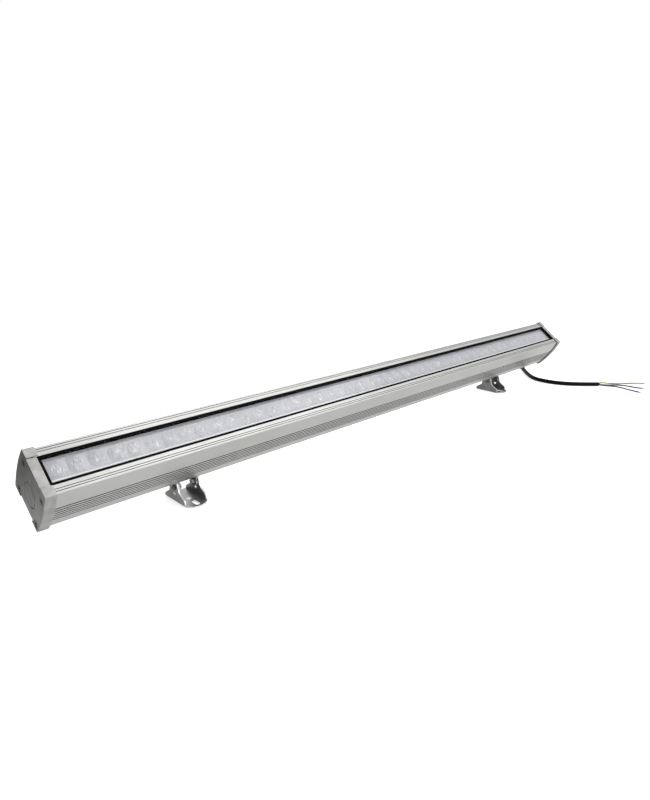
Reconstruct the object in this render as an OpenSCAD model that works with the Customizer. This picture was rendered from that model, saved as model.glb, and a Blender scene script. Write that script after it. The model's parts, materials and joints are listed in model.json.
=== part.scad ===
// Linear wall washer light: an extruded bar with a glass face, two end caps and two tilting feet.
// X runs along the bar, Y away from the viewer and Z up. The feet stand on Z = 0, and the
// origin is midway between their two round fixing holes.
// Inside the bar, u is the distance across it from its middle and w the height over its base.

/* [Profile] */
// Overall length over both end caps
overall_l = 1000; // [800:10:1400]
// Width of the profile at its base and at its ledges
profile_w = 55; // [54:0.2:56.4]
// How far each side swells past that width at mid height
side_bulge = 3.2; // [2.6:0.1:4]
// Height of the profile from its base to its ledges
profile_h = 59; // [58:0.5:64]
// Thickness of the outer walls
wall = 2.2; // [1.8:0.1:2.4]
// Width of the pocket that holds the glass and its gasket
window_w = 34.8; // [34:0.2:36]
// Depth of that pocket below the ledges
pocket_d = 7.5; // [7:0.5:8.5]
// Depth of the lens chamber below that pocket
chamber_d = 14; // [12.5:0.5:15]
// Thickness of the shelf
shelf_t = 2.5; // [2:0.1:3]
// Width of the chamber over the shelf
chamber_w = 30.8; // [30:0.2:31]
// Radius of the profile's upper edges
ridge_r = 1.2; // [0.6:0.1:1.6]

/* [Cooling grooves] */
// Number of grooves on each side
groove_count = 6; // [3:1:6]
// Height of the lowest groove over the base
groove_h = 16.3; // [15:0.1:18]
// Distance from groove to groove
groove_pitch = 4; // [3.6:0.1:4.6]
// Width of a groove
groove_w = 1.6; // [1.2:0.1:2]
// Depth of a groove
groove_d = 1; // [0.6:0.1:1.2]

/* [Base channel] */
// Width of the channel's mouth
mouth_w = 10; // [9:0.5:11]
// Width of the channel inside
channel_w = 18; // [17:0.5:19]
// Height of the channel inside
channel_h = 6; // [5.5:0.5:7]

/* [End caps] */
// Length of an end cap
cap_l = 11; // [10.5:0.5:14]
// Thickness of its end plate
cap_plate = 5; // [4.6:0.1:5.4]
// How far it stands proud of the sides
cap_over = 1.4; // [1.3:0.1:2.2]
// How far it stands proud of the ledges
cap_rise = 1.2; // [0.8:0.1:1.6]
// How far its two feet reach below the profile's base
cap_foot = 2.4; // [2:0.1:4]
// Width between those feet
cap_gap = 31; // [28:0.5:34]
// Length of the cap over the window
tongue_l = 9.5; // [8.5:0.1:10]
// Radius of the plain ring on the end plate
ring_r = 14; // [10:0.5:15]
// Thickness of the seal behind the cap
seal_t = 1.5; // [1:0.1:1.8]
// Radius of a cap screw
cap_screw_r = 2; // [1.6:0.1:2.1]
// Length of a cap screw under its head
cap_screw_l = 12; // [10:1:20]

/* [Glass] */
// Thickness of the glass
glass_t = 3.5; // [3:0.5:4]
// Depth of the glass below the ledges
glass_depth = 0.5; // [0.4:0.1:1]
// Width of the gasket's lip beside the glass
lip_w = 2.6; // [2:0.1:3]

/* [Light engine] */
// Number of lenses on a board
lens_count = 12; // [9:1:14]
// Thickness of a light board
board_t = 1.6; // [1:0.1:2]
// Gap between the glass and the plate of a lens bar
lens_gap = 1.1; // [1.1:0.1:2]
// Thickness of a lens bar's plate
lens_plate_t = 1.8; // [1.2:0.1:2.2]
// Height of the dome on each lens
lens_dome_h = 0.8; // [0.4:0.1:1]
// Width of a light chip
chip_w = 3.5; // [2.8:0.1:4]

/* [Power supply] */
// Length of the power supply
supply_l = 170; // [120:5:220]
// Width of the power supply
supply_w = 32; // [24:1:36]
// Gap between the power supply and the shelf over it
supply_gap = 4.6; // [1:0.1:10]
// Distance of the power supply's middle from the cable gland
supply_from_gland = 155; // [130:5:300]

/* [Feet] */
// Distance between the middles of the two feet
foot_spacing = 660; // [300:10:780]
// Width of a foot over its ears
foot_w = 30; // [28:0.5:36]
// Thickness of the steel sheet
sheet = 2; // [1.5:0.1:2.4]
// Reach of the ears in front of the round hole
foot_front = 16; // [15:0.5:22]
// Reach of the foot behind the round hole
foot_rear = 27; // [24:0.5:34]
// How far the foot's rounded front edge bulges past the ears
foot_bulge = 9; // [5:0.5:10]
// Height of an ear at its front edge
ear_front_h = 5.6; // [4:0.1:8]
// Height of an ear at its rear edge
ear_rear_h = 5.2; // [4:0.1:7]
// Radius of the ear's round top
ear_r = 9.1; // [8.4:0.1:9.4]
// Height of the pivot over the floor
pivot_h = 18.8; // [17:0.1:24]
// Distance of the pivot behind the round hole
pivot_back = 5; // [3:0.5:7]
// Radius of the round fixing hole and half the width of the slot
fixing_r = 3; // [2:0.1:3.4]
// Length of the fixing slot
slot_l = 13; // [8:0.5:14]
// Distance from the round hole forward to the slot's middle
slot_forward = 15.5; // [13:0.5:16]

/* [Tilt] */
// Tilt of the bar at rest
tilt = 37; // [0:1:90]
// Distance from the bar's base down to the pivot
pivot_drop = 11.5; // [11:0.1:14]
// Distance from the bar's middle forward to the pivot
pivot_forward = 25.5; // [22:0.5:27]
// Radius of a pivot screw
pivot_r = 2; // [1.5:0.1:2.2]
// Radius of the eye at the end of a swivel's arm
eye_r = 6; // [5.5:0.1:7.2]
// Reach of the swivel's plate behind the middle of the bar
swivel_rear = 11; // [9:0.5:14]

/* [Cable] */
// Diameter of the cable
cable_d = 7.6; // [6:0.1:7.8]
// Diameter of each insulated core
core_d = 2.4; // [1.8:0.1:2.6]
// Distance of the cable gland from the bar's end
gland_end = 45; // [30:1:70]
// Width of the gland's hexagon over its flats
gland_af = 19; // [17:0.5:22]
// Length of the gland below the bar's base
gland_l = 14; // [12:0.5:16]

/* [Hidden] */

$fn = 64;
// How far a cut runs past the face that it opens
overrun = 1;
// Gap between parts that slide on each other
slide_gap = 0.3;
// Gap between parts that are fitted together and stay still
fit_gap = 0.2;
// Gap all round a screw or pin in its hole
hole_gap = 0.05;
// Facets of the large arcs of the sides
arc_fn = 180;
// Step from a side's arc in to the rounding of its edge
edge_step = 0.04;

profile_l = overall_l - 2 * (cap_plate + seal_t);
seat_h = profile_h - pocket_d;
shelf_h = seat_h - chamber_d;
gland_x = overall_l / 2 - gland_end;
supply_x = gland_x - supply_from_gland;
rib_outer = window_w / 2 + wall;
base_edge_r = 2 * wall / 3;
ledge_groove_w = 0.5;
ledge_groove_d = 0.35;
ledge_groove_pitch = 2.6;
ledge_groove_edge = 2.5;
ledge_groove_count = 2;

// Screw ports, which run the whole length of the profile
port_wall = 1.3;
port_r = cap_screw_r + port_wall;
port_low = [profile_w / 2 - port_r - wall, port_r + 0.1 * wall];
port_high = [rib_outer + port_r - fit_gap, (seat_h + shelf_h) / 2 + 0.1 * pocket_d];

cap_edge_r = 2;
cap_base_edge_r = 1;
cap_head_r = 1.8 * cap_screw_r;
cap_head_h = 1.3 * cap_screw_r;
// Depth of a screw head's rim below the end plate's face, and the room round the head
cap_head_inset = 1;
cap_head_room = 0.5;
cap_sink_d = cap_head_h + cap_head_inset;
cap_recess_d = 1;
// Rim round the sunk face of the end plate, and the seams beside its part over the window
cap_rim_w = 1.6;
cap_face_d = 0.7;
cap_seam_w = 0.8;
cap_seam_d = 0.8;
ring_w = 1.2;
ring_d = 0.8;
ring_h = 22.3;

gasket_w = window_w - fit_gap;
gasket_l = overall_l - 2 * (tongue_l + fit_gap / 2);
gasket_floor = profile_h - glass_depth - glass_t - seat_h;
glass_bite = 1.8;
glass_w = gasket_w - 2 * (lip_w - glass_bite);
glass_l = gasket_l - 2 * (lip_w - glass_bite);
glass_base = profile_h - glass_depth - glass_t;

// Number of light boards in a row
board_count = 4;
led_end_gap = 1.7;
led_run = overall_l - 2 * (cap_l + led_end_gap);
board_run = led_run / board_count;
lens_pitch = board_run / lens_count;
board_gap = 0.8;
board_w = chamber_w - 2 * slide_gap;
lens_rail_t = 1.2;
lens_r = min(lens_pitch / 2 - slide_gap, board_w / 2 - 2 * lens_rail_t);
lens_foot_r = 0.42 * lens_r;
chip_h = 0.8;
chip_dome_r = 0.37 * chip_w;
lens_cone_base = shelf_h + board_t + chip_h + chip_dome_r + fit_gap;
lens_top = glass_base - lens_gap;
lens_h = lens_top - shelf_h - board_t;
board_screw_r = 1.5;
board_screw_l = board_t + shelf_t;
board_screw_head_r = 2.6;
board_screw_head_h = 1.2;
// The lens gaps, counted from the near end of a board, in which its screws sit
board_screw_slots = [1, floor(lens_count / 2), lens_count - 1];

channel_roof = wall + channel_h + wall;
channel_block_w = channel_w + 2 * wall;
supply_h = shelf_h - shelf_t - channel_roof - supply_gap;
supply_flange_l = 10;
supply_box_l = supply_l - 2 * supply_flange_l;
// Distance of the power supply's screws from its middle
supply_screw_reach = (supply_l - supply_flange_l) / 2;
supply_lid_t = 2;
supply_flange_t = 1.5;
supply_screw_r = 1.5;
wire_r = 1;
wire_pitch = 2.8;
// Radius of the ball at a wire's corner over the wire's own radius
wire_joint_share = 1.04;
wire_h = channel_roof + supply_h / 2;
feed_h = channel_roof + 0.75 * supply_h;
feed_x = (overall_l / 2 - cap_l + led_run / 2) / 2;
feed_hole_r = 3;
feed_wire_r = 0.75 * wire_r;
feed_half_pitch = 1.2 * wire_r;
earth_x = gland_x - 2 * gland_af;
lug_r = 4;
lug_t = 1;
earth_screw_r = 2;

bend_r = sheet / 2;
// Distance of the middle of the ear's round top behind the pivot
ear_lean = 1.3;
ear_steps = 36;
// Front and rear edges of an ear from below, as shares of the way in to its neck and up to the pivot
ear_front_shares = [[0, 0], [0.045, 0.12], [0.17, 0.21], [0.38, 0.32], [0.57, 0.42], [0.74, 0.54],
    [0.86, 0.68], [0.955, 0.83]];
ear_rear_shares = [[0, 0], [0.3, 0.18], [0.61, 0.35], [0.82, 0.45], [0.94, 0.57], [0.985, 0.72]];
lock_hole_drop = 8;
arm_half = foot_w / 2 - sheet - slide_gap;
// How far the front of an arm stands back at the top from the pivot below
arm_set_back = 3;
swivel_top = -slide_gap;
swivel_base = swivel_top - sheet;
pivot_head_r = 1.6 * pivot_r;
pivot_head_h = 0.8 * pivot_r;
pivot_nut_af = 3.5 * pivot_r;
pivot_nut_t = 1.6 * pivot_r;
pivot_l = 2 * sheet + 2 * slide_gap + pivot_nut_t;
nut_w = channel_w - 2 * slide_gap;
nut_h = channel_h - 2 * slide_gap;
nut_end_gap = 1;
nut_l = 2 * (arm_half - nut_end_gap);
clamp_r = 2;
clamp_spread = nut_l / 4;
clamp_head_r = 3.5;
clamp_head_h = 2.4;
clamp_l = sheet + slide_gap + wall + nut_h;

gland_hole_r = 0.4 * gland_af;
gland_flange_l = 0.32 * gland_l;
gland_nut_r = 0.46 * gland_af;
gland_nut_h = gland_l - gland_flange_l;
gland_tip_l = 2;
gland_mouth_r = gland_nut_r - gland_tip_l;
gland_tail_l = 20;
gland_tail_wall = 0.9;
gland_lock_t = 3;
cable_r = cable_d / 2;
cable_stub = 2;
cable_inner_end = channel_roof + gland_lock_t + cable_stub;
// Height of the middle of a cable or core that lies on the floor
cable_lie = cable_r + fit_gap / 2;
core_lie = core_d / 2 + fit_gap / 2;
cable_sides = 12;
cable_rings = 52;
core_sides = 8;
core_rings = 9;
core_lay_r = 0.58 * core_d;
tip_l = 7;
tip_r = 0.28 * core_d;

// Free route of the cable, its X counted from the gland: down behind the bar, round in a loop on
// the floor and out under the bar to the front
cable_route = along_bar([[0.3, 45.9, 9.5], [2, 55.6, 5.1], [5, 66, cable_lie], [9.3, 82, cable_lie],
    [21, 93.7, cable_lie], [37, 98, cable_lie], [53, 93.7, cable_lie], [64.7, 82, cable_lie],
    [69, 66, cable_lie], [66.6, 53.8, cable_lie], [59.6, 43.4, cable_lie], [45.5, 31.2, cable_lie],
    [30.5, 18.5, cable_lie], [16, 5, cable_lie], [4, -8, cable_lie], [-4, -21.5, cable_lie],
    [-6.8, -36, cable_lie], [-6, -52, cable_lie], [-0.7, -70, cable_lie], [8.5, -86, cable_lie],
    [20, -100, cable_lie], [32.5, -113, cable_lie], [45.5, -125.5, cable_lie]]);
// Routes of the three cores from the cable's cut end on
core_route_brown = along_bar([[52, -129.9, 2.4], [61.5, -137, 1.5], [70, -144.5, core_lie],
    [76.5, -152, core_lie], [80.5, -161, core_lie], [82, -170.5, core_lie], [82, -181, core_lie],
    [85.5, -192, core_lie]]);
core_route_blue = along_bar([[47.6, -131, 2.4], [54, -137.5, 1.5], [59, -145, core_lie],
    [61.5, -154, core_lie], [60.5, -165, core_lie], [57, -179, core_lie], [53.5, -197.5, core_lie]]);
core_route_earth = along_bar([[49.8, -127.5, 6.2], [58.3, -132.6, 5.2], [68.5, -137.8, 3.4],
    [80, -144, 1.9], [91, -151, core_lie], [103, -159, core_lie], [114, -168, core_lie],
    [125, -180.5, core_lie]]);

function along_bar(route) = [for (p = route) p + [gland_x, 0, 0]];
function unit(v) = v / norm(v);
// Point on a smooth curve through points p at t, counted in points from the first one
function curve_at(p, t) =
    let(n = len(p) - 1, i = min(floor(t), n - 1), f = t - i,
        a = p[max(i - 1, 0)], b = p[i], c = p[i + 1], d = p[min(i + 2, n)])
    0.5 * ((2 * b) + (c - a) * f + (2 * a - 5 * b + 4 * c - d) * f * f
        + (3 * b - a - 3 * c + d) * f * f * f);
function curve(p, rings) = [for (i = [0 : rings]) curve_at(p, i * (len(p) - 1) / rings)];
function side_of(q, i) =
    let(n = len(q) - 1, t = unit(q[min(i + 1, n)] - q[max(i - 1, 0)])) unit(cross(t, [0, 0, 1]));
function up_of(q, i) =
    let(n = len(q) - 1, t = unit(q[min(i + 1, n)] - q[max(i - 1, 0)])) unit(cross(side_of(q, i), t));

// Closed tube of the given radius along the points q, with one ring of corners at each point
module tube(q, r, sides) {
    n = len(q);
    corners = [for (i = [0 : n - 1], k = [0 : sides - 1])
        let(turn = 360 * (k + 0.5) / sides)
            q[i] + r * (cos(turn) * side_of(q, i) + sin(turn) * up_of(q, i))];
    walls = [for (i = [0 : n - 2], k = [0 : sides - 1])
        let(a = i * sides + k, b = i * sides + (k + 1) % sides) [a, b, b + sides, a + sides]];
    ends = [[for (k = [0 : sides - 1]) k], [for (k = [sides - 1 : -1 : 0]) (n - 1) * sides + k]];
    split = [for (f = walls) each [[f[0], f[2], f[1]], [f[0], f[3], f[2]]]];
    polyhedron(points = corners, faces = concat(split, ends));
}

// Base of the bar's middle in the part's frame, and the bar's own frame around it
function bar_point(x, u, w) =
    let(du = u + pivot_forward, dw = w + pivot_drop)
    [x, pivot_back + du * cos(tilt) - dw * sin(tilt), pivot_h + du * sin(tilt) + dw * cos(tilt)];

module in_bar()
    translate([0, pivot_back, pivot_h])
        rotate([tilt, 0, 0])
            translate([0, pivot_forward, pivot_drop])
                children();

// Turns an outline drawn in u and w into a solid from x0 to x0 + length
module along_x(x0, length)
    translate([x0, 0, 0])
        rotate([90, 0, 90])
            linear_extrude(length)
                children();

// The end at plus X as drawn, or mirrored to the end at minus X
module at_end(side)
    mirror([side < 0 ? 1 : 0, 0, 0])
        children();

// Half width of a side that swells by bulge over a height h, at height y over its foot
function swell_r(h, bulge) = (h * h / 4 + bulge * bulge) / (2 * bulge);
function side_at(half_w, h, bulge, y) =
    let(r = swell_r(h, bulge)) half_w + bulge - r + sqrt(r * r - (y - h / 2) * (y - h / 2));

// Barrel shaped outline with flat top and base, drawn inset all round
module barrel(half_w, h, bulge, inset) {
    r = swell_r(h, bulge);
    intersection() {
        translate([half_w + bulge - r, h / 2])
            circle(r = r - inset, $fn = arc_fn);
        translate([r - half_w - bulge, h / 2])
            circle(r = r - inset, $fn = arc_fn);
        translate([-half_w - bulge, inset])
            square([2 * (half_w + bulge), h - 2 * inset]);
    }
}

// Barrel outline with its two upper and two lower edges rounded
module soft_barrel(half_w, h, bulge, top_r, base_r)
    difference() {
        barrel(half_w, h, bulge, 0);
        for (s = [-1, 1])
            for (corner = [[1, top_r], [-1, base_r]]) {
                r = corner[1];
                y = corner[0] > 0 ? h - r : r;
                u = side_at(half_w, h, bulge, y) - r - edge_step;
                difference() {
                    translate([s > 0 ? u : -u - r - overrun, corner[0] > 0 ? y : y - r - overrun])
                        square(r + overrun);
                    translate([s * u, y])
                        circle(r = r);
                }
            }
    }

module profile_outline() soft_barrel(profile_w / 2, profile_h, side_bulge, ridge_r, base_edge_r);

module ports(r)
    for (s = [-1, 1])
        for (p = [port_low, port_high])
            translate([s * p[0], p[1]])
                circle(r = r);

module housing_section()
    difference() {
        union() {
            difference() {
                profile_outline();
                // Chambers beside the window and under the shelf
                intersection() {
                    barrel(profile_w / 2, profile_h, side_bulge, wall);
                    union() {
                        for (s = [0, 1])
                            mirror([s, 0])
                                translate([rib_outer, shelf_h])
                                    square([profile_w / 2, profile_h - wall - shelf_h]);
                        translate([-profile_w, 0])
                            square([2 * profile_w, shelf_h - shelf_t]);
                    }
                }
            }
            translate([-channel_block_w / 2, 0])
                square([channel_block_w, channel_roof]);
            intersection() {
                ports(port_r);
                profile_outline();
            }
        }
        ports(cap_screw_r + hole_gap);
        // Pocket of the glass and chamber of the lenses
        translate([-window_w / 2, seat_h])
            square([window_w, pocket_d + overrun]);
        translate([-chamber_w / 2, shelf_h])
            square([chamber_w, seat_h - shelf_h + overrun]);
        // Base channel
        translate([-channel_w / 2, wall])
            square([channel_w, channel_h]);
        translate([-mouth_w / 2, -overrun])
            square([mouth_w, wall + 2 * overrun]);
        for (s = [0, 1])
            mirror([s, 0]) {
                for (i = [0 : groove_count - 1]) {
                    y = groove_h + i * groove_pitch;
                    u = side_at(profile_w / 2, profile_h, side_bulge, y);
                    translate([u - groove_d, y - groove_w / 2])
                        square([groove_d + overrun, groove_w]);
                }
                for (i = [0 : ledge_groove_count - 1])
                    translate([profile_w / 2 - ledge_groove_edge - ledge_groove_w - i * ledge_groove_pitch,
                            profile_h - ledge_groove_d])
                        square([ledge_groove_w, ledge_groove_d + overrun]);
            }
    }

module housing()
    color("Gainsboro")
        in_bar()
            difference() {
                along_x(-profile_l / 2, profile_l)
                    housing_section();
                board_screw_places()
                    translate([0, 0, shelf_h - shelf_t - overrun])
                        cylinder(r = board_screw_r + hole_gap, h = shelf_t + 2 * overrun);
                translate([gland_x, 0, -overrun])
                    cylinder(r = gland_hole_r + fit_gap, h = channel_roof + 2 * overrun);
                translate([feed_x, 0, shelf_h - shelf_t - overrun])
                    cylinder(r = feed_hole_r, h = shelf_t + 2 * overrun);
                translate([earth_x, 0, channel_roof - wall - overrun])
                    cylinder(r = earth_screw_r + hole_gap, h = wall + 2 * overrun);
                for (s = [-1, 1])
                    translate([supply_x + s * supply_screw_reach, 0, channel_roof - wall - overrun])
                        cylinder(r = supply_screw_r + hole_gap, h = wall + 2 * overrun);
            }

cap_h = profile_h + cap_rise + cap_foot;
cap_half_w = profile_w / 2 + cap_over;

// Outline of an end cap, with its ledges stepping down to the window between them
module cap_outline()
    difference() {
        translate([0, -cap_foot])
            soft_barrel(cap_half_w, cap_h, side_bulge, cap_edge_r, cap_base_edge_r);
        translate([-window_w / 2 - slide_gap, profile_h])
            square([window_w + 2 * slide_gap, cap_rise + overrun]);
    }

// Outline of the sunk face inside the end plate's rim
module cap_face_outline()
    intersection() {
        translate([0, -cap_foot])
            barrel(cap_half_w, cap_h, side_bulge, cap_rim_w);
        translate([-cap_half_w - side_bulge, -cap_foot])
            square([2 * (cap_half_w + side_bulge), profile_h + cap_foot - cap_rim_w]);
    }

module end_cap(side)
    color("Silver")
        in_bar()
            at_end(side)
                difference() {
                    union() {
                        along_x(overall_l / 2 - cap_plate, cap_plate)
                            cap_outline();
                        // Skirt that sleeves over the profile's end
                        along_x(overall_l / 2 - cap_l, cap_l - cap_plate)
                            difference() {
                                cap_outline();
                                barrel(profile_w / 2, profile_h, side_bulge, -fit_gap);
                                translate([-cap_gap / 2, -cap_foot - overrun])
                                    square([cap_gap, cap_foot + 2 * overrun]);
                                translate([-window_w / 2 - slide_gap, profile_h - overrun])
                                    square([window_w + 2 * slide_gap, cap_rise + 2 * overrun]);
                            }
                        // Tongue that closes the end of the window pocket
                        along_x(overall_l / 2 - tongue_l, tongue_l)
                            translate([-window_w / 2 + slide_gap, seat_h + slide_gap])
                                square([window_w - 2 * slide_gap, pocket_d - slide_gap]);
                    }
                    along_x(overall_l / 2 - cap_recess_d, cap_recess_d + overrun)
                        translate([-cap_gap / 2, -cap_foot - overrun])
                            square([cap_gap, cap_foot + overrun]);
                    along_x(overall_l / 2 - cap_face_d, cap_face_d + overrun)
                        cap_face_outline();
                    along_x(overall_l / 2 - cap_l, cap_l + overrun)
                        for (s = [0, 1])
                            mirror([s, 0])
                                translate([window_w / 2 + slide_gap - cap_seam_w, profile_h - cap_seam_d])
                                    square([cap_seam_w, cap_seam_d + overrun]);
                    along_x(overall_l / 2 - cap_face_d - ring_d, cap_face_d + ring_d + overrun)
                        translate([0, ring_h])
                            difference() {
                                circle(r = ring_r);
                                circle(r = ring_r - ring_w);
                            }
                    along_x(overall_l / 2 - cap_sink_d, cap_sink_d + overrun)
                        ports(cap_head_r + cap_head_room);
                    along_x(overall_l / 2 - cap_l - overrun, cap_l)
                        ports(cap_screw_r + hole_gap);
                }

module end_seal(side)
    color("DimGray")
        in_bar()
            at_end(side)
                along_x(profile_l / 2, seal_t)
                    difference() {
                        profile_outline();
                        ports(cap_screw_r + hole_gap);
                        translate([-window_w / 2, seat_h])
                            square([window_w, pocket_d + overrun]);
                        translate([-chamber_w / 2, shelf_h])
                            square([chamber_w, seat_h - shelf_h + overrun]);
                        translate([-channel_block_w / 2, channel_roof])
                            square([channel_block_w, shelf_h - shelf_t - channel_roof]);
                    }

// Pan head with a cross recess, its shank pointing along minus Z
module pan_screw(r, length, head_r, head_h) {
    slot = 0.35 * head_r;
    difference() {
        cylinder(r = head_r, h = head_h);
        for (a = [0, 90])
            rotate([0, 0, a])
                translate([-0.6 * head_r, -slot / 2, head_h / 2])
                    cube([1.2 * head_r, slot, head_h]);
    }
    translate([0, 0, -length])
        cylinder(r = r, h = length + head_h / 4);
}

module cap_screws(side)
    color("DarkGray")
        in_bar()
            at_end(side)
                for (s = [-1, 1])
                    for (p = [port_low, port_high])
                        translate([overall_l / 2 - cap_sink_d, s * p[0], p[1]])
                            rotate([0, 90, 0])
                                pan_screw(cap_screw_r, cap_screw_l, cap_head_r, cap_head_h);

module glass_panel()
    color("PowderBlue")
        in_bar()
            translate([-glass_l / 2, -glass_w / 2, glass_base])
                cube([glass_l, glass_w, glass_t]);

// Box centred in X and Y, standing on height z
module slab(l, w, z, h)
    translate([-l / 2, -w / 2, z])
        cube([l, w, h]);

module glass_gasket()
    color("Black")
        in_bar()
            difference() {
                slab(gasket_l, gasket_w, seat_h, pocket_d);
                slab(glass_l, glass_w, glass_base, glass_t);
                slab(gasket_l - 2 * lip_w, gasket_w - 2 * lip_w, glass_base + glass_t / 2, pocket_d);
                slab(gasket_l - 2 * lip_w, chamber_w + fit_gap, seat_h - overrun, gasket_floor + 2 * overrun);
            }

function board_x(i) = (i - (board_count - 1) / 2) * board_run;
function lens_x(i, k) = board_x(i) + (k - (lens_count - 1) / 2) * lens_pitch;

module lens_bar(i)
    color("AliceBlue")
        in_bar() {
            bar_l = board_run - board_gap;
            translate([board_x(i), 0, 0])
                slab(bar_l, board_w, lens_top - lens_plate_t, lens_plate_t);
            for (s = [-1, 1])
                translate([board_x(i), s * (board_w - lens_rail_t) / 2, 0])
                    slab(bar_l, lens_rail_t, shelf_h + board_t, lens_h - lens_plate_t / 2);
            for (k = [0 : lens_count - 1])
                translate([lens_x(i, k), 0, 0])
                    lens();
        }

module lens() {
    dome_r = swell_r(2 * lens_r, lens_dome_h);
    translate([0, 0, lens_cone_base])
        cylinder(r1 = lens_foot_r, r2 = lens_r, h = lens_top - lens_plate_t / 2 - lens_cone_base);
    intersection() {
        translate([0, 0, lens_top + lens_dome_h - dome_r])
            sphere(r = dome_r, $fn = arc_fn);
        translate([0, 0, lens_top - lens_plate_t / 2])
            cylinder(r = lens_r, h = lens_plate_t / 2 + lens_dome_h + overrun);
    }
}

module board_screw_places()
    for (i = [0 : board_count - 1])
        for (k = board_screw_slots)
            translate([board_x(i) + (k - lens_count / 2) * lens_pitch, 0, 0])
                children();

module light_board(i)
    color("White")
        in_bar()
            difference() {
                translate([board_x(i), 0, 0])
                    slab(board_run - board_gap, board_w, shelf_h, board_t);
                board_screw_places()
                    translate([0, 0, shelf_h - overrun])
                        cylinder(r = board_screw_r + hole_gap, h = board_t + 2 * overrun);
            }

module light_chips()
    color("Khaki")
        in_bar()
            for (i = [0 : board_count - 1])
                for (k = [0 : lens_count - 1])
                    translate([lens_x(i, k), 0, 0]) {
                        slab(chip_w, chip_w, shelf_h + board_t, chip_h);
                        intersection() {
                            translate([0, 0, shelf_h + board_t + chip_h])
                                sphere(r = chip_dome_r);
                            slab(chip_w, chip_w, shelf_h + board_t + chip_h / 2, chip_w);
                        }
                    }

module board_screws()
    color("LightGray")
        in_bar()
            board_screw_places()
                translate([0, 0, shelf_h + board_t])
                    pan_screw(board_screw_r, board_screw_l, board_screw_head_r, board_screw_head_h);

module power_supply_case()
    color("Silver")
        in_bar()
            translate([supply_x, 0, 0])
                difference() {
                    union() {
                        slab(supply_box_l, supply_w, channel_roof, supply_h - supply_lid_t);
                        slab(supply_l, channel_block_w, channel_roof, supply_flange_t);
                    }
                    slab(supply_box_l - 2 * wall, supply_w - 2 * wall, channel_roof + wall, supply_h);
                    for (s = [-1, 1])
                        translate([s * supply_screw_reach, 0, channel_roof - overrun])
                            cylinder(r = supply_screw_r + hole_gap, h = supply_flange_t + 2 * overrun);
                }

module power_supply_lid()
    color("DimGray")
        in_bar()
            translate([supply_x, 0, 0]) {
                slab(supply_box_l, supply_w, channel_roof + supply_h - supply_lid_t, supply_lid_t);
                // Potting that fills the case
                slab(supply_box_l - 2 * (wall + fit_gap), supply_w - 2 * (wall + fit_gap),
                    channel_roof + wall + fit_gap, supply_h - wall - fit_gap - supply_lid_t / 2);
            }

module power_supply_screws()
    color("LightGray")
        in_bar()
            for (s = [-1, 1])
                translate([supply_x + s * supply_screw_reach, 0, channel_roof + supply_flange_t])
                    pan_screw(supply_screw_r, supply_flange_t + wall, 2 * supply_screw_r, supply_screw_r);

module earth_lug()
    color("Goldenrod")
        in_bar()
            translate([earth_x, 0, channel_roof])
                difference() {
                    union() {
                        cylinder(r = lug_r, h = lug_t);
                        translate([0, -wire_r, 0])
                            cube([2 * lug_r, 2 * wire_r, lug_t]);
                    }
                    translate([0, 0, -overrun])
                        cylinder(r = earth_screw_r + hole_gap, h = lug_t + 2 * overrun);
                }

module earth_screw()
    color("LightGray")
        in_bar()
            translate([earth_x, 0, channel_roof + lug_t])
                pan_screw(earth_screw_r, lug_t + wall, 1.7 * earth_screw_r, earth_screw_r);

// Round wire through the given points of the bar's frame, with ball joints at its corners
module wire(points, r) {
    for (i = [0 : len(points) - 2])
        let(d = points[i + 1] - points[i], l = norm(d))
            translate(points[i])
                rotate([0, acos(d[2] / l), atan2(d[1], d[0])])
                    cylinder(r = r, h = l);
    for (i = [1 : 1 : len(points) - 2])
        translate(points[i])
            sphere(r = wire_joint_share * r);
}

supply_end = supply_x + supply_l / 2 - supply_flange_l;

module inner_wire_live(side)
    in_bar()
        wire([[gland_x, side * wire_pitch, cable_inner_end + fit_gap],
            [gland_x, side * wire_pitch, wire_h],
            [supply_end, side * wire_pitch, wire_h]], wire_r);

module inner_wire_brown() color("SaddleBrown") inner_wire_live(1);
module inner_wire_blue() color("RoyalBlue") inner_wire_live(-1);

module inner_wire_earth()
    color("YellowGreen")
        in_bar()
            wire([[gland_x - wire_pitch / 2, 0, cable_inner_end + fit_gap],
                [gland_x - wire_pitch / 2, 0, (cable_inner_end + wire_h) / 2],
                [earth_x + 2 * lug_r + wire_r, 0, channel_roof + lug_t + wire_r],
                [earth_x + 1.5 * lug_r, 0, channel_roof + lug_t + wire_r]], wire_r);

module board_feed_wires()
    color("Firebrick")
        in_bar()
            for (s = [-1, 1])
                wire([[supply_end, s * feed_half_pitch, feed_h],
                    [feed_x, s * feed_half_pitch, feed_h],
                    [feed_x, s * feed_half_pitch, shelf_h + board_t / 2],
                    [(led_run - board_gap) / 2, s * feed_half_pitch, shelf_h + board_t / 2]], feed_wire_r);

// Regular hexagonal prism, given by its width over the flats
module hex(af, h)
    cylinder(r = af / sqrt(3), h = h, $fn = 6);

module gland_body()
    color("Gray")
        in_bar()
            translate([gland_x, 0, 0])
                difference() {
                    union() {
                        translate([0, 0, -gland_flange_l])
                            hex(gland_af, gland_flange_l);
                        cylinder(r = gland_hole_r, h = channel_roof + gland_lock_t);
                    }
                    translate([0, 0, -gland_flange_l - overrun])
                        cylinder(r = cable_r + hole_gap, h = gland_l + channel_roof + gland_lock_t);
                }

module gland_locknut()
    color("DarkGray")
        in_bar()
            translate([gland_x, 0, channel_roof])
                difference() {
                    hex(gland_af, gland_lock_t);
                    translate([0, 0, -overrun])
                        cylinder(r = gland_hole_r + hole_gap, h = gland_lock_t + 2 * overrun);
                }

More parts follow.
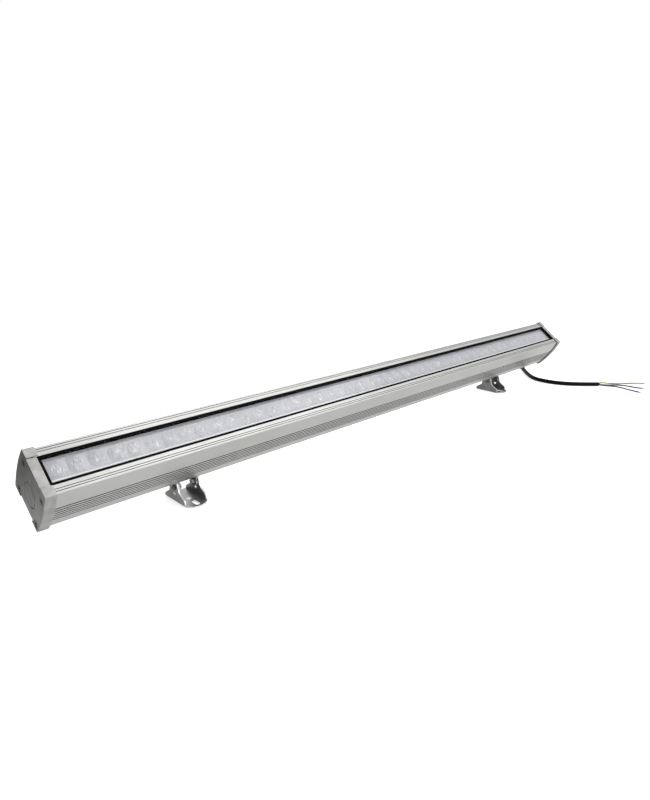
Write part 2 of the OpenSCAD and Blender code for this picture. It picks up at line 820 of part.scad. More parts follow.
module gland_dome_nut()
    color("Gray")
        in_bar()
            translate([gland_x, 0, -gland_l])
                difference() {
                    intersection() {
                        cylinder(r1 = gland_mouth_r, r2 = gland_mouth_r + gland_l / 2, h = gland_nut_h);
                        cylinder(r = gland_nut_r, h = gland_nut_h);
                    }
                    translate([0, 0, -overrun])
                        cylinder(r = gland_hole_r - gland_tip_l, h = gland_l + 2 * overrun);
                }

module gland_sleeve() {
    r = gland_hole_r - gland_tip_l - hole_gap;
    color("Black")
        in_bar()
            translate([gland_x, 0, 0])
                difference() {
                    union() {
                        translate([0, 0, -gland_l])
                            cylinder(r = r, h = gland_nut_h - fit_gap);
                        // Tapered tail that keeps the cable from kinking
                        translate([0, 0, -gland_l - gland_tail_l])
                            cylinder(r1 = cable_r + gland_tail_wall, r2 = r, h = gland_tail_l);
                    }
                    translate([0, 0, -gland_l - gland_tail_l - overrun])
                        cylinder(r = cable_r + hole_gap, h = gland_l + gland_tail_l);
                }
}

// The cable runs straight through the gland and its tail before it takes its free route
cable_points = curve(concat([for (w = [cable_inner_end, 0, -gland_l, -gland_l - gland_tail_l])
    bar_point(gland_x, 0, w)], cable_route), cable_rings);

module cable() color([0.06, 0.06, 0.06]) tube(cable_points, cable_r, cable_sides);

// Cores start inside the cut end of the cable, a third of a turn from each other
module core(route, turn) {
    end = cable_route[len(cable_route) - 1];
    dir = unit(end - cable_route[len(cable_route) - 2]);
    side = unit(cross(dir, [0, 0, 1]));
    start = end + core_lay_r * (cos(turn) * side + sin(turn) * [0, 0, 1]);
    tube(curve(concat([start + fit_gap * dir], route), core_rings), core_d / 2, core_sides);
}

module core_brown() color("SaddleBrown") core(core_route_brown, 210);
module core_blue() color("RoyalBlue") core(core_route_blue, 330);
module core_earth() color("YellowGreen") core(core_route_earth, 90);

module core_tips()
    color("Silver")
        for (route = [core_route_brown, core_route_blue, core_route_earth]) {
            end = route[len(route) - 1];
            dir = end - route[len(route) - 2];
            translate(end)
                rotate([0, 90, atan2(dir[1], dir[0])])
                    cylinder(r = tip_r, h = tip_l, $fn = core_sides);
        }

// Angle at which a line from q touches a circle of radius r round c, on the side of the given sign
function touch_angle(c, r, q, sign) =
    let(v = q - c) atan2(v[1], v[0]) + sign * acos(r / norm(v));
function round_at(c, r, angle) = c + r * [cos(angle), sin(angle)];

// Side view of an ear: its edges sweep in from the foot to a neck with a round top
module ear_outline() {
    neck = [pivot_back + ear_lean, pivot_h];
    front = [for (p = ear_front_shares)
        [p[0] * (foot_front + neck[0] - ear_r) - foot_front, ear_front_h + p[1] * (pivot_h - ear_front_h)]];
    rear = [for (p = ear_rear_shares)
        [foot_rear - p[0] * (foot_rear - neck[0] - ear_r), ear_rear_h + p[1] * (pivot_h - ear_rear_h)]];
    polygon(concat([[-foot_front - foot_bulge, 0], [foot_rear, 0]], rear,
        [for (i = [0 : ear_steps]) round_at(neck, ear_r, 180 * i / ear_steps)],
        [for (i = [len(front) - 1 : -1 : 0]) front[i]],
        [[-foot_front, sheet], [-foot_front - foot_bulge, sheet]]));
}

module foot_plan() {
    r = swell_r(foot_w, foot_bulge);
    middle = r - foot_front - foot_bulge;
    intersection() {
        translate([-foot_w / 2, -foot_front - foot_bulge])
            square([foot_w, foot_front + foot_bulge + foot_rear]);
        union() {
            translate([0, middle])
                circle(r = r);
            translate([-foot_w, middle])
                square([2 * foot_w, foot_rear - middle]);
        }
    }
}

// U section of bent sheet, open upwards, with its web on y = 0
module u_section(half_w, h)
    difference() {
        union() {
            translate([-half_w, bend_r + sheet])
                square([2 * half_w, h - bend_r - sheet]);
            translate([-half_w + bend_r + sheet, 0])
                square([2 * (half_w - bend_r - sheet), h]);
            for (s = [-1, 1])
                translate([s * (half_w - bend_r - sheet), bend_r + sheet])
                    circle(r = bend_r + sheet);
        }
        translate([-half_w + sheet, bend_r + sheet])
            square([2 * (half_w - sheet), h]);
        translate([-half_w + bend_r + sheet, sheet])
            square([2 * (half_w - bend_r - sheet), h]);
        for (s = [-1, 1])
            translate([s * (half_w - bend_r - sheet), bend_r + sheet])
                circle(r = bend_r);
    }

// Moves what is drawn for a foot at x = 0 to the left or right foot
module at_foot(side)
    translate([side * foot_spacing / 2, 0, 0])
        children();

module floor_bracket(side)
    color("DimGray")
        at_foot(side)
            difference() {
                intersection() {
                    translate([0, foot_rear, 0])
                        rotate([90, 0, 0])
                            linear_extrude(foot_rear + foot_front + foot_bulge)
                                u_section(foot_w / 2, pivot_h + ear_r);
                    along_x(-foot_w / 2, foot_w)
                        ear_outline();
                    linear_extrude(pivot_h + ear_r)
                        foot_plan();
                }
                translate([0, 0, -overrun])
                    cylinder(r = fixing_r, h = sheet + 2 * overrun);
                for (s = [-1, 1])
                    translate([0, -slot_forward + s * (slot_l / 2 - fixing_r), -overrun])
                        cylinder(r = fixing_r, h = sheet + 2 * overrun);
                translate([-fixing_r, -slot_forward - slot_l / 2 + fixing_r, -overrun])
                    cube([2 * fixing_r, slot_l - 2 * fixing_r, sheet + 2 * overrun]);
                for (z = [pivot_h, pivot_h - lock_hole_drop])
                    translate([-foot_w / 2 - overrun, pivot_back, z])
                        rotate([0, 90, 0])
                            cylinder(r = pivot_r + hole_gap, h = foot_w + 2 * overrun);
            }

// Side view of a swivel's arm, from the plate under the bar down to the eye
module arm_outline() {
    eye = [-pivot_forward, -pivot_drop];
    front = [arm_set_back - pivot_forward, swivel_top];
    rear_top = [swivel_rear, swivel_top];
    rear = [swivel_rear, swivel_base - sheet];
    polygon([front, round_at(eye, eye_r, touch_angle(eye, eye_r, front, 1)), eye,
        round_at(eye, eye_r, touch_angle(eye, eye_r, rear, -1)), rear, rear_top]);
    translate(eye)
        circle(r = eye_r);
}

module swivel_bracket(side)
    color("SlateGray")
        in_bar()
            at_foot(side)
                difference() {
                    intersection() {
                        translate([0, swivel_rear, swivel_top])
                            rotate([90, 0, 0])
                                linear_extrude(swivel_rear + pivot_forward + eye_r)
                                    mirror([0, 1])
                                        u_section(arm_half, pivot_drop + eye_r);
                        along_x(-arm_half, 2 * arm_half)
                            arm_outline();
                    }
                    for (s = [-1, 1])
                        translate([s * clamp_spread, 0, swivel_base - overrun])
                            cylinder(r = clamp_r + hole_gap, h = sheet + 2 * overrun);
                    translate([-arm_half - overrun, -pivot_forward, -pivot_drop])
                        rotate([0, 90, 0])
                            cylinder(r = pivot_r + hole_gap, h = 2 * arm_half + 2 * overrun);
                }

module slide_nut(side)
    color("LightSteelBlue")
        in_bar()
            at_foot(side)
                difference() {
                    slab(nut_l, nut_w, wall + slide_gap, nut_h);
                    for (s = [-1, 1])
                        translate([s * clamp_spread, 0, 0])
                            cylinder(r = clamp_r + hole_gap, h = channel_roof);
                }

module clamp_screws(side)
    color("LightGray")
        in_bar()
            at_foot(side)
                for (s = [-1, 1])
                    translate([s * clamp_spread, 0, swivel_base])
                        rotate([180, 0, 0])
                            pan_screw(clamp_r, clamp_l, clamp_head_r, clamp_head_h);

module pivot_screws(side)
    color("DarkGray")
        in_bar()
            at_foot(side)
                for (s = [0, 1])
                    mirror([s, 0, 0])
                        translate([foot_w / 2 + slide_gap, -pivot_forward, -pivot_drop])
                            rotate([0, 90, 0])
                                pan_screw(pivot_r, pivot_l, pivot_head_r, pivot_head_h);

module pivot_nuts(side)
    color("DarkGray")
        in_bar()
            at_foot(side)
                for (s = [0, 1])
                    mirror([s, 0, 0])
                        translate([arm_half - sheet - pivot_nut_t, -pivot_forward, -pivot_drop])
                            rotate([0, 90, 0])
                                difference() {
                                    hex(pivot_nut_af, pivot_nut_t);
                                    translate([0, 0, -overrun])
                                        cylinder(r = pivot_r + hole_gap, h = pivot_nut_t + 2 * overrun);
                                }

housing();
end_cap(-1);  // end_cap_left
end_cap(1);  // end_cap_right
end_seal(-1);  // end_seal_left
end_seal(1);  // end_seal_right
cap_screws(-1);  // cap_screws_left
cap_screws(1);  // cap_screws_right
glass_panel();
glass_gasket();
lens_bar(0);  // lens_bar_1
lens_bar(1);  // lens_bar_2
lens_bar(2);  // lens_bar_3
lens_bar(3);  // lens_bar_4
light_board(0);  // light_board_1
light_board(1);  // light_board_2
light_board(2);  // light_board_3
light_board(3);  // light_board_4
light_chips();
board_screws();
power_supply_case();
power_supply_lid();
power_supply_screws();
earth_lug();
earth_screw();
inner_wire_brown();
inner_wire_blue();
inner_wire_earth();
board_feed_wires();
gland_body();
gland_dome_nut();
gland_sleeve();
gland_locknut();
cable();
core_brown();
core_blue();
core_earth();
core_tips();
floor_bracket(-1);  // floor_bracket_left
floor_bracket(1);  // floor_bracket_right
swivel_bracket(-1);  // swivel_bracket_left
swivel_bracket(1);  // swivel_bracket_right
slide_nut(-1);  // slide_nut_left
slide_nut(1);  // slide_nut_right
clamp_screws(-1);  // clamp_screws_left
clamp_screws(1);  // clamp_screws_right
pivot_screws(-1);  // pivot_screws_left
pivot_screws(1);  // pivot_screws_right
pivot_nuts(-1);  // pivot_nuts_left
pivot_nuts(1);  // pivot_nuts_right
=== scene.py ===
# %% [markdown]
# A wall washer light is a long aluminium bar that lies in front of a wall and throws light up it.
# The construction comes from the CAD model, which is loaded here as the frame. Every piece made
# below keeps to that frame: it either stands for a CAD piece or rides with one of its bodies.

import json
import math

import bmesh
import bpy
import numpy as np
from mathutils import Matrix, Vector


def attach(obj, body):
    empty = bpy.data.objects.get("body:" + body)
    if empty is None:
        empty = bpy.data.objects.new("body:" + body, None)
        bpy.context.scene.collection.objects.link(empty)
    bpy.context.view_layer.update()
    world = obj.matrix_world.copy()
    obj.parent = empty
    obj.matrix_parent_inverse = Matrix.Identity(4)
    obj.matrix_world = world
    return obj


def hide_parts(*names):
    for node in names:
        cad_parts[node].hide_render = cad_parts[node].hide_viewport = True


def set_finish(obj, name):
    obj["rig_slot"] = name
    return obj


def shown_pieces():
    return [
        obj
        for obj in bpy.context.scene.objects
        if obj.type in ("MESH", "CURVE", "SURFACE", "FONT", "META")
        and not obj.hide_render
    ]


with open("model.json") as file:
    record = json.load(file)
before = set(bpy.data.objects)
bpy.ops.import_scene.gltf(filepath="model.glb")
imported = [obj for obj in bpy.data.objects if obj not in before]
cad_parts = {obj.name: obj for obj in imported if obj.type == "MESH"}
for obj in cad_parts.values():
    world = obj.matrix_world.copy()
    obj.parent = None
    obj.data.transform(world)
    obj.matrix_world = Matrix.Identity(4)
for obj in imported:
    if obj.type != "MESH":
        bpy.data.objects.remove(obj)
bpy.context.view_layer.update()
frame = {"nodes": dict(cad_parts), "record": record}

# %% [markdown]
# The camera stands low at the near end and looks along the bar. A wide lens close by gives the strong
# taper of the photograph: a longer lens from further away would keep the two ends more alike.
# It comes first, because everything else is judged through it.

# %% Camera
# Place in metres, turns in degrees, focal length and width of the picture's plane in mm
CAMERA_PLACE = (-0.6692, -0.5803, 0.3226)
LOOK_DOWN, LOOK_RIGHT = 17.1, 43.99
FOCAL_MM, SENSOR_MM = 27.71, 36
camera_data = bpy.data.cameras.new("camera")
camera = bpy.data.objects.new("camera", camera_data)
bpy.context.scene.collection.objects.link(camera)
bpy.context.scene.camera = camera
camera.location = CAMERA_PLACE
camera.rotation_euler = (math.radians(90 - LOOK_DOWN), 0, math.radians(-LOOK_RIGHT))
camera_data.lens = FOCAL_MM
camera_data.sensor_width = SENSOR_MM
camera_data.clip_start = 0.01
print("camera at", tuple(round(c, 3) for c in camera.location))

# %% [markdown]
# All new pieces are surfaces: rows and columns of points that numpy works out at once. Two helpers do
# the rest. One puts finished arrays into a mesh, the other carries a ring of points along a path.
# The bar itself is tilted, so a third helper turns its own measures (x along, u across, w up from
# its base) into the frame. Lengths are in millimetres here and become metres in the mesh.

# %% Helpers for meshes
MM = 0.001
TILT = math.radians(37)
PIVOT_Y, PIVOT_Z = 5.0, 18.8
PIVOT_U, PIVOT_W = -25.5, -11.5


def bar_to_world(x, u, w):
    """Turns x, u and w of the bar, in mm, by the tilt about the pivot: y is u cos - w sin and z is
    u sin + w cos, both counted from the pivot."""
    x, u, w = np.broadcast_arrays(np.asarray(x, float), u, w)
    du, dw = u - PIVOT_U, w - PIVOT_W
    y = PIVOT_Y + du * math.cos(TILT) - dw * math.sin(TILT)
    z = PIVOT_Z + du * math.sin(TILT) + dw * math.cos(TILT)
    return np.stack([x, y, z], axis=-1) * MM


def bar_spots(mesh):
    """The x, u and w of a mesh's vertices, which is bar_to_world the other way round."""
    spot = np.empty(3 * len(mesh.vertices))
    mesh.vertices.foreach_get("co", spot)
    spot = spot.reshape(-1, 3) / MM
    dy, dz = spot[:, 1] - PIVOT_Y, spot[:, 2] - PIVOT_Z
    u = dy * math.cos(TILT) + dz * math.sin(TILT) + PIVOT_U
    return spot[:, 0], u, -dy * math.sin(TILT) + dz * math.cos(TILT) + PIVOT_W


def new_piece(name, points, faces, body, slot_name, stands_for=(), smooth_angle=35):
    """Puts points (in metres) and faces into a mesh object that rides on a body of the frame."""
    mesh = bpy.data.meshes.new(name)
    mesh.from_pydata(np.asarray(points).reshape(-1, 3).tolist(), [], faces)
    mesh.update()
    piece = bpy.data.objects.new(name, mesh)
    bpy.context.scene.collection.objects.link(piece)
    tidy_mesh(mesh)
    smooth(mesh, smooth_angle)
    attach(piece, body)
    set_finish(piece, slot_name)
    if stands_for:
        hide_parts(*stands_for)
    return piece


def tidy_mesh(mesh, gap=1e-6):
    """Merges points that fall together and turns all faces outwards."""
    work = bmesh.new()
    work.from_mesh(mesh)
    bmesh.ops.remove_doubles(work, verts=work.verts, dist=gap)
    bmesh.ops.recalc_face_normals(work, faces=work.faces)
    work.to_mesh(mesh)
    work.free()


def smooth(mesh, angle):
    """Shades a mesh smooth, apart from edges sharper than the angle in degrees."""
    mesh.shade_smooth()
    mesh.set_sharp_from_angle(angle=math.radians(angle))


def grid_faces(rows, columns, wrap=True):
    """Faces of a grid of points, row by row; with wrap the last column joins the first one."""
    r = np.arange(rows - 1)[:, None]
    c = np.arange(columns if wrap else columns - 1)[None, :]
    n = (c + 1) % columns
    here, beside = r * columns + c, r * columns + n
    quads = np.stack(np.broadcast_arrays(here, beside, beside + columns, here + columns), -1)
    return quads.reshape(-1, 4).tolist()


def spline(route, steps):
    """Smooth line through the route's points: a Catmull-Rom curve, in which the slope at each point is
    half the step from its neighbour before to its neighbour after."""
    p = np.asarray(route, float)
    p = np.vstack([2 * p[:1] - p[1:2], p, 2 * p[-1:] - p[-2:-1]])
    t = np.linspace(0, len(route) - 1, steps)
    i = np.minimum(t.astype(int), len(route) - 2)
    f = (t - i)[:, None]
    a, b, c, d = p[i], p[i + 1], p[i + 2], p[i + 3]
    return 0.5 * (2 * b + (c - a) * f + (2 * a - 5 * b + 4 * c - d) * f**2 + (3 * b - a - 3 * c + d) * f**3)


def tube(path, radius, sides, turns=0.0, offset=0.0, start=0.0):
    """Rings of points round a path. Each ring lies across the path's direction; with an offset the
    whole ring circles the path at that distance, which makes one strand of a twisted bundle."""
    path = np.asarray(path, float)
    along = np.gradient(path, axis=0)
    along /= np.linalg.norm(along, axis=1, keepdims=True)
    side = np.cross(along, (0, 0, 1))
    side /= np.linalg.norm(side, axis=1, keepdims=True)
    up = np.cross(side, along)
    run = np.linspace(0, 1, len(path))[:, None]
    a = 2 * np.pi * np.arange(sides)[None, :] / sides
    radius = np.broadcast_to(np.asarray(radius, float), (len(path),))[:, None, None]
    lay = 2 * np.pi * (start + turns * run)
    middle = path + offset * (np.cos(lay) * side + np.sin(lay) * up)
    outwards = np.cos(a)[..., None] * side[:, None, :] + np.sin(a)[..., None] * up[:, None, :]
    return middle[:, None, :] + radius * outwards


def tube_piece(name, rings, body, slot_name, stands_for=(), length=None):
    """A closed tube from its rings, with a UV map whose U goes round it and whose V is in metres along it."""
    rows, sides = rings.shape[:2]
    faces = grid_faces(rows, sides)
    faces += [list(range(sides))[::-1], list(range((rows - 1) * sides, rows * sides))]
    piece = new_piece(name, rings * MM, faces, body, slot_name, stands_for, 60)
    if length:
        layer = piece.data.uv_layers.new(name="along").data
        loops = np.empty(len(piece.data.loops), int)
        piece.data.loops.foreach_get("vertex_index", loops)
        corner = np.tile([0, 1, 1, 0], (rows - 1) * sides)
        u = (loops % sides) / sides
        quads = (rows - 1) * sides * 4
        u[:quads] = np.where((corner == 1) & (u[:quads] == 0), 1.0, u[:quads])
        v = (loops // sides) / (rows - 1) * length
        layer.foreach_set("uv", np.stack([u, v], -1).ravel())
    return piece


print("helpers ready")

# %% [markdown]
# The cable is a length of round rubber cord with three insulated cores. It leaves the bar through a
# gland at the far end, drops to the floor behind the bar, turns in one loose loop and comes out
# under the bar to the front, where the jacket ends and the cores fan out. A curve object could make
# it too, but a tube of rings keeps its own UV map, which the striped earth core needs.

# %% Cable and cores
GLAND_X = 455
CABLE_D, CORE_D = 7.6, 2.4
LIE = CABLE_D / 2 + 0.1
CORE_LIE = CORE_D / 2 + 0.1
CABLE_STEPS, CABLE_SIDES = 170, 24
CORE_STEPS, CORE_SIDES = 60, 16
END_NARROWING = 0.93
# A core's middle starts this share of its diameter from the cable's middle
CORE_LAY_SHARE = 0.58
CORE_START_GAP = 0.2
STRANDS, STRAND_R, STRAND_SIDES, STRAND_OFFSET, STRAND_TURNS = 7, 0.22, 6, 0.46, 1.2
# A bare tip starts a little inside its core's insulation and ends this far past it, in mm
TIP_START, TIP_END, TIP_RINGS = -1, 6.9, 12
EXIT_W, STRAIGHT_W = -33, -37
exit_point = bar_to_world(GLAND_X, 0, EXIT_W) / MM
cable_route = [
    exit_point, bar_to_world(GLAND_X, 0, STRAIGHT_W) / MM, (455.4, 47, 8.8), (457, 55.6, 5.1), (460, 66, LIE),
    (464.3, 82, LIE), (476, 93.7, LIE), (492, 98, LIE), (508, 93.7, LIE), (519.7, 82, LIE), (524, 66, LIE),
    (521.6, 53.8, LIE), (514.6, 43.4, LIE), (500.5, 31.2, LIE), (485.5, 18.5, LIE), (471, 5, LIE),
    (459, -8, LIE), (451, -21.5, LIE), (448.2, -36, LIE), (449, -52, LIE), (454.3, -70, LIE),
    (463.5, -86, LIE), (475, -100, LIE), (487.5, -113, LIE), (500.5, -125.5, LIE),
]
cable_path = spline(cable_route, CABLE_STEPS)
cable_length = float(np.linalg.norm(np.diff(cable_path, axis=0), axis=1).sum())
jacket_radius = np.full(len(cable_path), CABLE_D / 2)
jacket_radius[-1] *= END_NARROWING
cable_rings = tube(cable_path, jacket_radius, CABLE_SIDES)
cable = tube_piece("cable_jacket", cable_rings, "lamp", "cable_rubber", ["cable"], cable_length * MM)

cut_end = np.array(cable_route[-1], float)
heading = (cut_end - np.array(cable_route[-2])) / np.linalg.norm(cut_end - np.array(cable_route[-2]))
across = np.cross(heading, (0, 0, 1))
core_routes = {
    "core_brown": (210, [
        (507, -129.9, 2.4), (516.5, -137, 1.5), (525, -144.5, CORE_LIE), (531.5, -152, CORE_LIE),
        (535.5, -161, CORE_LIE), (537, -170.5, CORE_LIE), (537, -181, CORE_LIE), (540.5, -192, CORE_LIE)]),
    "core_blue": (330, [
        (502.6, -131, 2.4), (509, -137.5, 1.5), (514, -145, CORE_LIE), (516.5, -154, CORE_LIE),
        (515.5, -165, CORE_LIE), (512, -179, CORE_LIE), (508.5, -197.5, CORE_LIE)]),
    "core_earth": (90, [
        (504.8, -127.5, 6.2), (513.3, -132.6, 5.2), (523.5, -137.8, 3.4), (535, -144, 1.9),
        (546, -151, CORE_LIE), (558, -159, CORE_LIE), (569, -168, CORE_LIE), (580, -180.5, CORE_LIE)]),
}
core_slots = {
    "core_brown": "insulation_brown", "core_blue": "insulation_blue", "core_earth": "insulation_earth",
}
cores, strands = [], []
for name, (turn, route) in core_routes.items():
    turn = math.radians(turn)
    sideways = math.cos(turn) * across + math.sin(turn) * np.array((0, 0, 1))
    start = cut_end + CORE_LAY_SHARE * CORE_D * sideways + CORE_START_GAP * heading
    path = spline([start] + route, CORE_STEPS)
    length = float(np.linalg.norm(np.diff(path, axis=0), axis=1).sum())
    rings = tube(path, CORE_D / 2, CORE_SIDES)
    cores.append(tube_piece(name + "_insulation", rings, "lamp", core_slots[name], [name], length * MM))
    last_step = path[-1] - path[-2]
    reach = np.linspace(TIP_START, TIP_END, TIP_RINGS)[:, None]
    tip = route[-1] + reach * last_step / np.linalg.norm(last_step)
    tip[:, 2] = CORE_LIE
    for k in range(STRANDS):
        offset = STRAND_OFFSET if k else 0.0
        strands.append(tube(tip, STRAND_R, STRAND_SIDES, STRAND_TURNS, offset, k / (STRANDS - 1)))
    print(name, "length in mm:", round(length))
strand_rows, strand_sides = strands[0].shape[:2]
strand_points = np.concatenate([s.reshape(-1, 3) for s in strands]) * MM
strand_faces = []
for k in range(len(strands)):
    first = k * strand_rows * strand_sides
    last_ring = range((strand_rows - 1) * strand_sides, strand_rows * strand_sides)
    ends = [list(range(strand_sides))[::-1], list(last_ring)]
    strand_faces += [[first + i for i in f] for f in grid_faces(strand_rows, strand_sides) + ends]
strand_piece = new_piece(
    "core_strands", strand_points, strand_faces, "lamp", "tinned_copper", ["core_tips"], 60)
print("cable length in mm:", round(cable_length))

# %% [markdown]
# The housing is one extrusion: a single outline drawn out to a metre. So the outline is worked out
# once, as a closed line of points in u and w, and swept along x. The long cooling grooves in the
# sides and the fine lines in the ledges are dips in that line, with soft lips that catch the light.
# The hidden chambers between the base channel and the lens chamber are left out of this outline.

# %% Outline of the housing
PROFILE_W, PROFILE_H, BULGE = 55.0, 59.0, 3.2
WINDOW_W, POCKET_D, CHAMBER_W, CHAMBER_D = 34.8, 7.5, 30.8, 14.0
GROOVE_W, GROOVE_D = 1.6, 1.0
GROOVES = 16.3 + 4.0 * np.arange(6)
LEDGE_GROOVE_W, LEDGE_GROOVE_D = 0.5, 0.35
LEDGE_GROOVES = PROFILE_W / 2 - 2.75 - 2.6 * np.arange(2)
# A groove's lips are soft over this much to each side of its edge
LIP = 0.15
CHANNEL_TOP, CHANNEL_HALF_W, CHANNEL_LIP_T, MOUTH_HALF_W = 8.2, 9, 2.2, 5
WINDOW_CHAMFER = 0.3


def side_u(w):
    """Half width of the bar at height w: a shallow circular arc that swells by BULGE at mid height."""
    r = (PROFILE_H**2 / 4 + BULGE**2) / (2 * BULGE)
    return PROFILE_W / 2 + BULGE - r + np.sqrt(r**2 - (w - PROFILE_H / 2) ** 2)


def dip(position, centre, width, depth):
    """Depth of a groove at a position: full at its centre and falling off smoothly at both lips."""
    t = np.clip((width / 2 + LIP - abs(position - centre)) / (2 * LIP), 0, 1)
    return depth * t * t * (3 - 2 * t)


def half_outline():
    """Points of the outline on the side of plus u, from the base channel round to the lens chamber."""
    base_r, ridge_r = 1.5, 1.2
    a = np.linspace(-90, 0, 9)[:, None]
    quarter = np.hstack([np.cos(np.radians(a)), np.sin(np.radians(a))])
    channel = np.array([
        (0, CHANNEL_TOP), (CHANNEL_HALF_W, CHANNEL_TOP), (CHANNEL_HALF_W, CHANNEL_LIP_T),
        (MOUTH_HALF_W, CHANNEL_LIP_T), (MOUTH_HALF_W, 0)])
    base = quarter * base_r + (side_u(base_r) - base_r, base_r)
    edge = GROOVE_W / 2
    steps = (-LIP, -LIP / 2, 0, LIP / 2, LIP)
    lips = np.concatenate([[g + s * (edge + o) for o in steps] for g in GROOVES for s in (-1, 1)])
    w = np.unique(np.concatenate([np.linspace(base_r + 0.5, PROFILE_H - ridge_r - 0.4, 30), lips, GROOVES]))
    cut = sum(dip(w, g, GROOVE_W, GROOVE_D) for g in GROOVES)
    side = np.stack([side_u(w) - cut, w], -1)
    ridge = quarter[::-1] * (1, -1) * ridge_r + (side_u(PROFILE_H - ridge_r) - ridge_r, PROFILE_H - ridge_r)
    edge = LEDGE_GROOVE_W / 2
    steps = (-LIP, 0, LIP)
    lips = np.concatenate([[g + s * (edge + o) for o in steps] for g in LEDGE_GROOVES for s in (-1, 1)])
    u = np.unique(np.concatenate([lips, [WINDOW_W / 2 + WINDOW_CHAMFER]]))[::-1]
    u = u[u < side_u(PROFILE_H) - ridge_r]
    cut = sum(dip(u, g, LEDGE_GROOVE_W, LEDGE_GROOVE_D) for g in LEDGE_GROOVES)
    ledge = np.stack([u, PROFILE_H - cut], -1)
    pocket = np.array([
        (WINDOW_W / 2, PROFILE_H - WINDOW_CHAMFER), (WINDOW_W / 2, PROFILE_H - POCKET_D),
        (CHAMBER_W / 2, PROFILE_H - POCKET_D), (CHAMBER_W / 2, PROFILE_H - POCKET_D - CHAMBER_D),
        (0, PROFILE_H - POCKET_D - CHAMBER_D)])
    return np.vstack([channel, base, side, ridge, ledge, pocket])


half = half_outline()
outline = np.vstack([half, half[::-1][1:-1] * (-1, 1)])
print("points in the housing's outline:", len(outline))

# %% Housing
HOUSING_L, STATIONS = 987, 24
stations = np.linspace(-HOUSING_L / 2, HOUSING_L / 2, STATIONS)
housing_points = bar_to_world(stations[:, None], outline[None, :, 0], outline[None, :, 1])
housing_faces = grid_faces(len(stations), len(outline))
far_end = [(len(stations) - 1) * len(outline) + i for i in range(len(outline))]
housing_faces += [list(range(len(outline)))[::-1], far_end]
housing = new_piece(
    "aluminium_housing", housing_points, housing_faces, "lamp", "anodised_aluminium", ["housing"], 25)
# How deep each point lies in a groove, from 0 on the skin to 1 on a groove's floor. The housing's finish
# paints shade where it is high. The margins, in mm, keep the rounded edges and the window's rim out of it.
BASE_MARGIN, RIDGE_MARGIN, SKIN_MARGIN = 3, 2, 1.5
LEDGE_MARGIN, RIM_MARGIN, CORNER_MARGIN = 1, 0.5, 1.7
spot_x, spot_u, spot_w = bar_spots(housing.data)
spot_u = abs(spot_u)
on_side = (spot_w > BASE_MARGIN) & (spot_w < PROFILE_H - RIDGE_MARGIN)
on_side = on_side & (spot_u > PROFILE_W / 2 - SKIN_MARGIN)
on_ledge = (spot_w > PROFILE_H - LEDGE_MARGIN) & (spot_u > WINDOW_W / 2 + RIM_MARGIN)
depth = np.where(on_side, (side_u(np.clip(spot_w, 0, PROFILE_H)) - spot_u) / GROOVE_D, 0)
ledge_depth = (PROFILE_H - spot_w) / LEDGE_GROOVE_D * (spot_u < PROFILE_W / 2 - CORNER_MARGIN)
depth = np.where(on_ledge, ledge_depth, depth)
housing.data.attributes.new("groove", "FLOAT", "POINT").data.foreach_set("value", np.clip(depth, 0, 1))
print("housing faces:", len(housing.data.polygons), "points in grooves:", int((depth > 0.5).sum()))

# %% [markdown]
# Cast, bent and turned pieces keep the exact shape that the CAD model gives them. What a plain CAD
# solid lacks is the tiny rounding that every real edge has and that catches a thin line of light.
# A merged copy of the CAD mesh gets it from a Bevel modifier on its sharp edges only.

# %% Pieces with softened edges
BODY_OF = {node: body for body, nodes in frame["record"]["behaviour"]["bodies"].items() for node in nodes}
SLOT_OF = {row["node"]: row["material_slot"] for row in frame["record"]["subparts"]}


def softened(node, name, bevel_mm, segments=2):
    """A merged copy of a CAD node with its sharp edges rounded by a small bevel."""
    mesh = frame["nodes"][node].data.copy()
    mesh.name = name
    work = bmesh.new()
    work.from_mesh(mesh)
    bmesh.ops.remove_doubles(work, verts=work.verts, dist=2e-6)
    bmesh.ops.dissolve_limit(work, angle_limit=math.radians(0.5), verts=work.verts, edges=work.edges)
    work.to_mesh(mesh)
    work.free()
    mesh.materials.clear()
    piece = bpy.data.objects.new(name, mesh)
    bpy.context.scene.collection.objects.link(piece)
    smooth(mesh, 25)
    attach(piece, BODY_OF[node])
    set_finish(piece, SLOT_OF[node])
    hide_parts(node)
    bevel = piece.modifiers.new("soft edges", "BEVEL")
    bevel.width = bevel_mm * MM
    bevel.segments = segments
    bevel.limit_method = "ANGLE"
    bevel.angle_limit = math.radians(35)
    bevel.harden_normals = False
    return piece


SOFT_EDGES = {
    "end_cap_left": 0.5, "end_cap_right": 0.5, "glass_gasket": 0.3, "floor_bracket_left": 0.25,
    "floor_bracket_right": 0.25, "swivel_bracket_left": 0.25, "swivel_bracket_right": 0.25,
    "glass_panel": 0.3, "gland_body": 0.3, "gland_dome_nut": 0.4, "cap_screws_left": 0.15,
    "cap_screws_right": 0.15, "pivot_screws_left": 0.15, "pivot_screws_right": 0.15,
    "clamp_screws_left": 0.15, "clamp_screws_right": 0.15,
}
softened_pieces = {node: softened(node, node + "_finished", bevel) for node, bevel in SOFT_EDGES.items()}


# A face looks along a direction if its normal has more than this share of it
FACING_SHARE, LOOKS_BACK_SHARE = 0.3, 0.7
# The walls of a plate's holes lie within this many mm of the foot's middle
HOLE_REACH = 8


